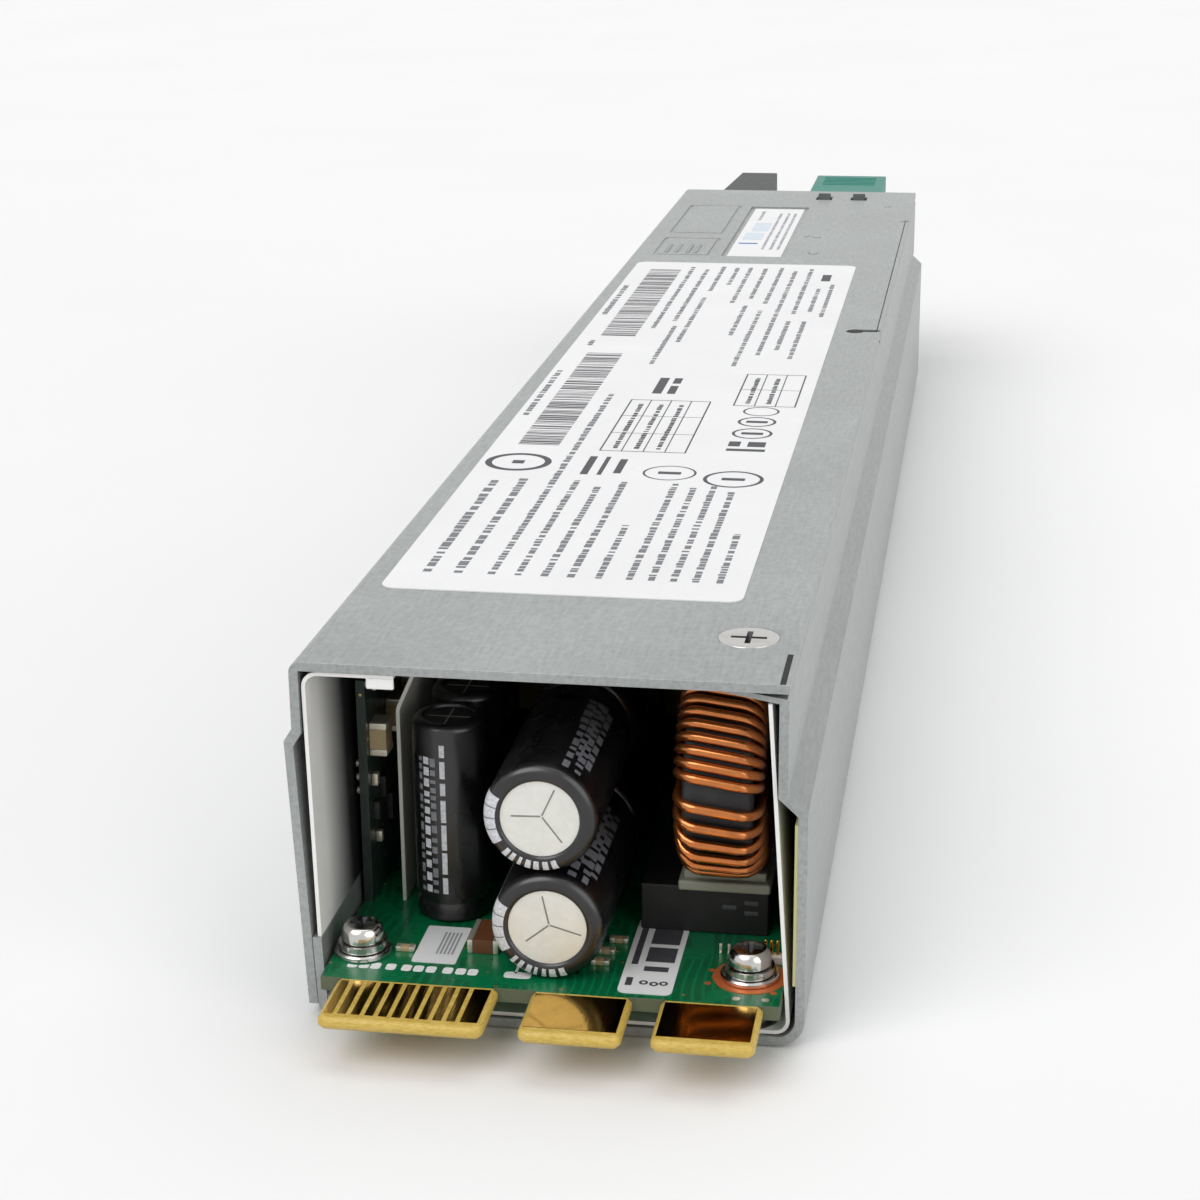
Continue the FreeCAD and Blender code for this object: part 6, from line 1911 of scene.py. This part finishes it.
@dataclass
class ControlCard:
    """Card on edge with its chips, header and insulating screen."""

    header_up: float = 1.6
    chip_pitch: float = 7.5
    chip_depth: float = 3.0
    small_parts: tuple[tuple[float, float, float, Finish], ...] = (
        (-137.6, 20.2, 0.9, Finishes.tin), (-137.2, 16.4, 1.3, Finishes.black),
        (-136.8, 13.0, 0.8, Finishes.tin), (-134.0, 18.0, 1.6, Finishes.black),
        (-131.0, 14.5, 2.0, Finishes.black))

    def make(self) -> None:
        """Give every chip its tinned ends and the card its small parts."""
        card_low, card_high = node_box("control_card")
        dress(Finishes.card, "control_card")
        shape = Shape()
        low, high = node_box("card_chips")
        depth = self.chip_depth
        for number in range(round((high.y - low.y - depth) / self.chip_pitch) + 1):
            y = low.y + self.chip_pitch * number
            shape.using(Finishes.chip_beige)
            shape.block((low.x, y + 0.1, low.z + 0.75), (high.x - 0.08, y + depth - 0.1, high.z - 0.75), 0.1)
            shape.using(Finishes.tin)
            for a, b in ((low.z, low.z + 0.8), (high.z - 0.8, high.z)):
                shape.block((low.x, y, a), (high.x, y + depth, b), 0.16)
        shape.piece("card_chip_parts", replaces=["card_chips"], slot="chip_beige")
        header = Shape().using(Finishes.white)
        low, high = node_box("card_header")
        low.z += self.header_up
        header.block(low, high, 0.22)
        header.using(Finishes.tin)
        for number in range(6):
            y = low.y + 0.9 + number * 1.25
            header.block((low.x + 0.6, y, low.z - 0.6), (low.x + 1.0, y + 0.35, low.z + 0.1), 0.05)
        header.piece("card_header_shell", replaces=["card_header"], slot="header_white")
        parts = Shape()
        for y, z, size, finish in self.small_parts:
            parts.using(finish).block((card_high.x, y - size / 2, z - size * 0.8),
                                      (card_high.x + 0.7, y + size / 2, z + size * 0.8), 0.1)
        for z in (19.0, 20.6, 22.2):
            parts.using(Finishes.tin).rod((card_low.x - 0.01, -138.2, z), Axis.X, -0.55, 0.45, sides=16)
        parts.piece("card_small_parts", slot="chip_beige")
        dress(Finishes.screen, "screen_sheet")
        brown = Shape().using(Finishes.chip_brown)
        low, high = node_box("brown_chip")
        brown.block((low.x + 0.6, low.y, low.z), (high.x - 0.6, high.y, high.z), 0.12)
        brown.using(Finishes.tin)
        for a, b in ((low.x, low.x + 0.62), (high.x - 0.62, high.x)):
            brown.block((a, low.y, low.z), (b, high.y, high.z), 0.15)
        brown.piece("brown_chip_parts", replaces=["brown_chip"], slot="chip_brown")


@dataclass
class RearEnd:
    """Handle, latch with its spring, inlet shell and fan."""

    ribs: int = 6
    spring_share: float = 0.62
    # Where the latch's teeth take painted shade.
    tooth_shade_end: float = 149.0
    tooth_shade_low: float = 37.5

    def make(self) -> None:
        """Round and dress the moulded parts at the handle end."""
        for node, finish, width in (("handle", Finishes.handle, 0.5),
                                    ("inlet_shell", Finishes.black, 0.3),
                                    ("fan_frame", Finishes.black, 0.3)):
            shape = Shape().using(finish).take(node).soften(width)
            shape.piece(f"{node}_body", replaces=[node], slot="moulded_black")
        dress(Finishes.black, "fan_rotor")
        self.latch()
        self.coil()

    def coil(self) -> None:
        """Press the latch's spring together by the lever's travel."""
        low = node_box("latch_spring")[0]
        shape = Shape().using(Finishes.spring).take("latch_spring")
        for vert in shape.bm.verts:
            vert.co.z = low.z + (vert.co.z - low.z) * self.spring_share
        shape.piece("latch_spring_coil", replaces=["latch_spring"], slot="spring_steel")

    def latch(self) -> None:
        """Add grip ribs to the latch's tail and paint shade on its teeth."""
        shape = Shape().using(Finishes.teal).take("latch_lever").soften(0.3)
        low, high = node_box("latch_lever")
        tree = BVHTree.FromBMesh(shape.bm)
        for number in range(self.ribs):
            y = high.y - 3.0 - number * 1.9
            hit = tree.ray_cast(Vector(((low.x + high.x) / 2, y - 0.35, high.z + 5.0)),
                                Vector((0.0, 0.0, -1.0)))[0]
            if hit is not None:
                shape.block((low.x + 2.0, y - 0.7, hit.z - 0.4),
                            (high.x - 2.0, y, min(hit.z + 0.14, high.z)), 0.12)
        # Painted shade: the teeth take a darker teal than the rest of the moulding.
        shape.using(Finishes.tooth)
        for face in shape.bm.faces:
            middle = face.calc_center_median()
            if middle.y < self.tooth_shade_end and middle.z > self.tooth_shade_low:
                face.material_index = shape.index
        shape.piece("latch_lever_body", Body.LATCH, ["latch_lever"], "latch_teal")


@dataclass
class Inside:
    """Everything else on the board, dressed as it is."""

    finishes: tuple[tuple[Finish, tuple[str, ...]], ...] = (
        (Finishes.tape, ("side_tape",)),
        (Finishes.screw, ("standoffs", "handle_screws", "inlet_pins", "latch_pin")),
        (Finishes.core, ("transformer_core", "boost_choke_core", "filter_choke_core")),
        (Finishes.yellow_tape, ("transformer_coil",)),
        (Finishes.copper, ("boost_choke_coil", "filter_choke_coil")),
        (Finishes.sink, ("output_sink", "mains_sink")),
        (Finishes.black, ("output_rectifiers", "mains_switches", "bridge_rectifier", "relay")),
        (Finishes.yellow_box, ("filter_blocks",)),
        (Finishes.sleeve, ("store_cap_sleeve",)),
        (Finishes.can, ("store_cap_can",)),
        (Finishes.glass, ("fuse",)),
        (Finishes.rubber, ("inlet_wires",)),
        (Finishes.lamp, ("status_lamp",)),
    )

    def make(self) -> None:
        """Dress each node."""
        for finish, nodes in self.finishes:
            dress(finish, *nodes)


# ------------------------------------------------------------------ floor, light, camera


@dataclass
class Studio:
    """White floor, soft lamps, pale world and the camera."""

    floor_reach: float = 9.0
    floor_gap: float = 0.0002
    azimuth: float = 9.468
    elevation: float = 18.416
    roll: float = -0.584
    distance: float = 240.877
    target: tuple[float, float, float] = (6.28, -155.0, 48.061)
    lens: float = 73.094
    world: float = 0.3
    glossy: float = 0.85
    lamps: tuple[tuple[str, tuple[float, float, float], float, float], ...] = (
        ("key_lamp", (-0.55, -0.75, 1.0), 1.35, 42.0), ("top_lamp", (0.15, 0.35, 1.3), 1.0, 60.0),
        ("side_lamp", (1.0, -0.7, 0.55), 0.85, 50.0))

    def make(self) -> None:
        """Build the floor, the lamps, the world and the camera."""
        self.floor()
        self.sky()
        for lamp in self.lamps:
            self.lamp(*lamp)
        self.camera()

    def floor(self) -> None:
        """Lay the floor under the housing."""
        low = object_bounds()[0]
        bm = bmesh.new()
        bmesh.ops.create_grid(bm, x_segments=1, y_segments=1, size=self.floor_reach,
                              matrix=Matrix.Translation((0.0, 0.0, low[2] - self.floor_gap)))
        mesh = bpy.data.meshes.new("studio_floor")
        bm.to_mesh(mesh)
        bm.free()
        graph = Graph("floor_paint")
        mottle = graph.noise(0.01, 3.0)
        graph.shade(Base_Color=graph.mix(mottle, linear((244, 244, 244)), linear((248, 248, 248))),
                    Roughness=mottle.span(0.3, 0.7, 0.85, 0.95), Specular_IOR_Level=0.0)
        mesh.materials.append(graph.material)
        linked("studio_floor", mesh)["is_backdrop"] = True

    def sky(self) -> None:
        """Light evenly from all round, white to the camera, to metal and through glass."""
        world = bpy.data.worlds.new("studio_world")
        bpy.context.scene.world = world
        world.use_nodes = True
        tree = world.node_tree
        tree.nodes.clear()
        output = tree.nodes.new("ShaderNodeOutputWorld")
        rays = tree.nodes.new("ShaderNodeLightPath")
        seen = tree.nodes.new("ShaderNodeMath")
        seen.operation = "MAXIMUM"
        either = tree.nodes.new("ShaderNodeMath")
        either.operation = "MULTIPLY_ADD"
        either.inputs[1].default_value = self.glossy
        level = tree.nodes.new("ShaderNodeMapRange")
        level.inputs[3].default_value = self.world
        level.inputs[4].default_value = 1.0
        light = tree.nodes.new("ShaderNodeBackground")
        light.inputs["Color"].default_value = (1.0, 1.0, 1.0, 1.0)
        for source, target in ((rays.outputs["Is Camera Ray"], seen.inputs[0]),
                               (rays.outputs["Is Transmission Ray"], seen.inputs[1]),
                               (rays.outputs["Is Glossy Ray"], either.inputs[0]),
                               (seen.outputs[0], either.inputs[2]),
                               (either.outputs[0], level.inputs[0]),
                               (level.outputs[0], light.inputs["Strength"]),
                               (light.outputs[0], output.inputs[0])):
            tree.links.new(source, target)

    def lamp(self, name: str, place: Point, power: float, spread: float) -> None:
        """Add one soft sun.

        Args:
            name: The lamp's name.
            place: The direction that it shines from.
            power: Its strength.
            spread: Its angle in degrees.
        """
        light = bpy.data.lights.new(name, "SUN")
        light.energy = power
        light.angle = math.radians(spread)
        lamp = linked(name, light)
        lamp.rotation_euler = Vector(place).to_track_quat("Z", "Y").to_euler()
        lamp.location = Vector(place)

    def camera(self) -> None:
        """Set the camera by its direction, roll and distance from a point at the card edge."""
        around, up_angle, roll = (math.radians(angle)
                                  for angle in (self.azimuth, self.elevation, self.roll))
        back = Vector((math.sin(around) * math.cos(up_angle), -math.cos(around) * math.cos(up_angle),
                       math.sin(up_angle)))
        place = (Vector(self.target) + back * self.distance) * MM
        right = (-back).cross(Vector((0.0, 0.0, 1.0))).normalized()
        up = right.cross(-back)
        level = right * math.cos(roll) + up * math.sin(roll)
        raised = up * math.cos(roll) - right * math.sin(roll)
        turn = Matrix((level, raised, back)).transposed()
        data = bpy.data.cameras.new("studio_camera")
        data.lens = self.lens
        data.sensor_width = 36.0
        data.clip_start = 0.01
        camera = linked("studio_camera", data)
        camera.matrix_world = Matrix.Translation(place) @ turn.to_4x4()
        bpy.context.scene.camera = camera


def main() -> None:
    """Build every sub-assembly in order and log each one."""
    logging.basicConfig(level=logging.INFO, format="%(name)s %(message)s")
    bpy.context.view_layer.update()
    bpy.context.scene.view_settings.view_transform = "Standard"
    Studio().make()
    for part in (Inside(), Shell(), Liner(), CoverScrew(), LabelPrint(), CardEdge(), LyingCapacitors(),
                 PostCapacitors(), OutputChoke(), Screws(), ControlCard(), RearEnd()):
        LOG.info("building %s", type(part).__name__)
        part.make()


if __name__ == "__main__":
    main()
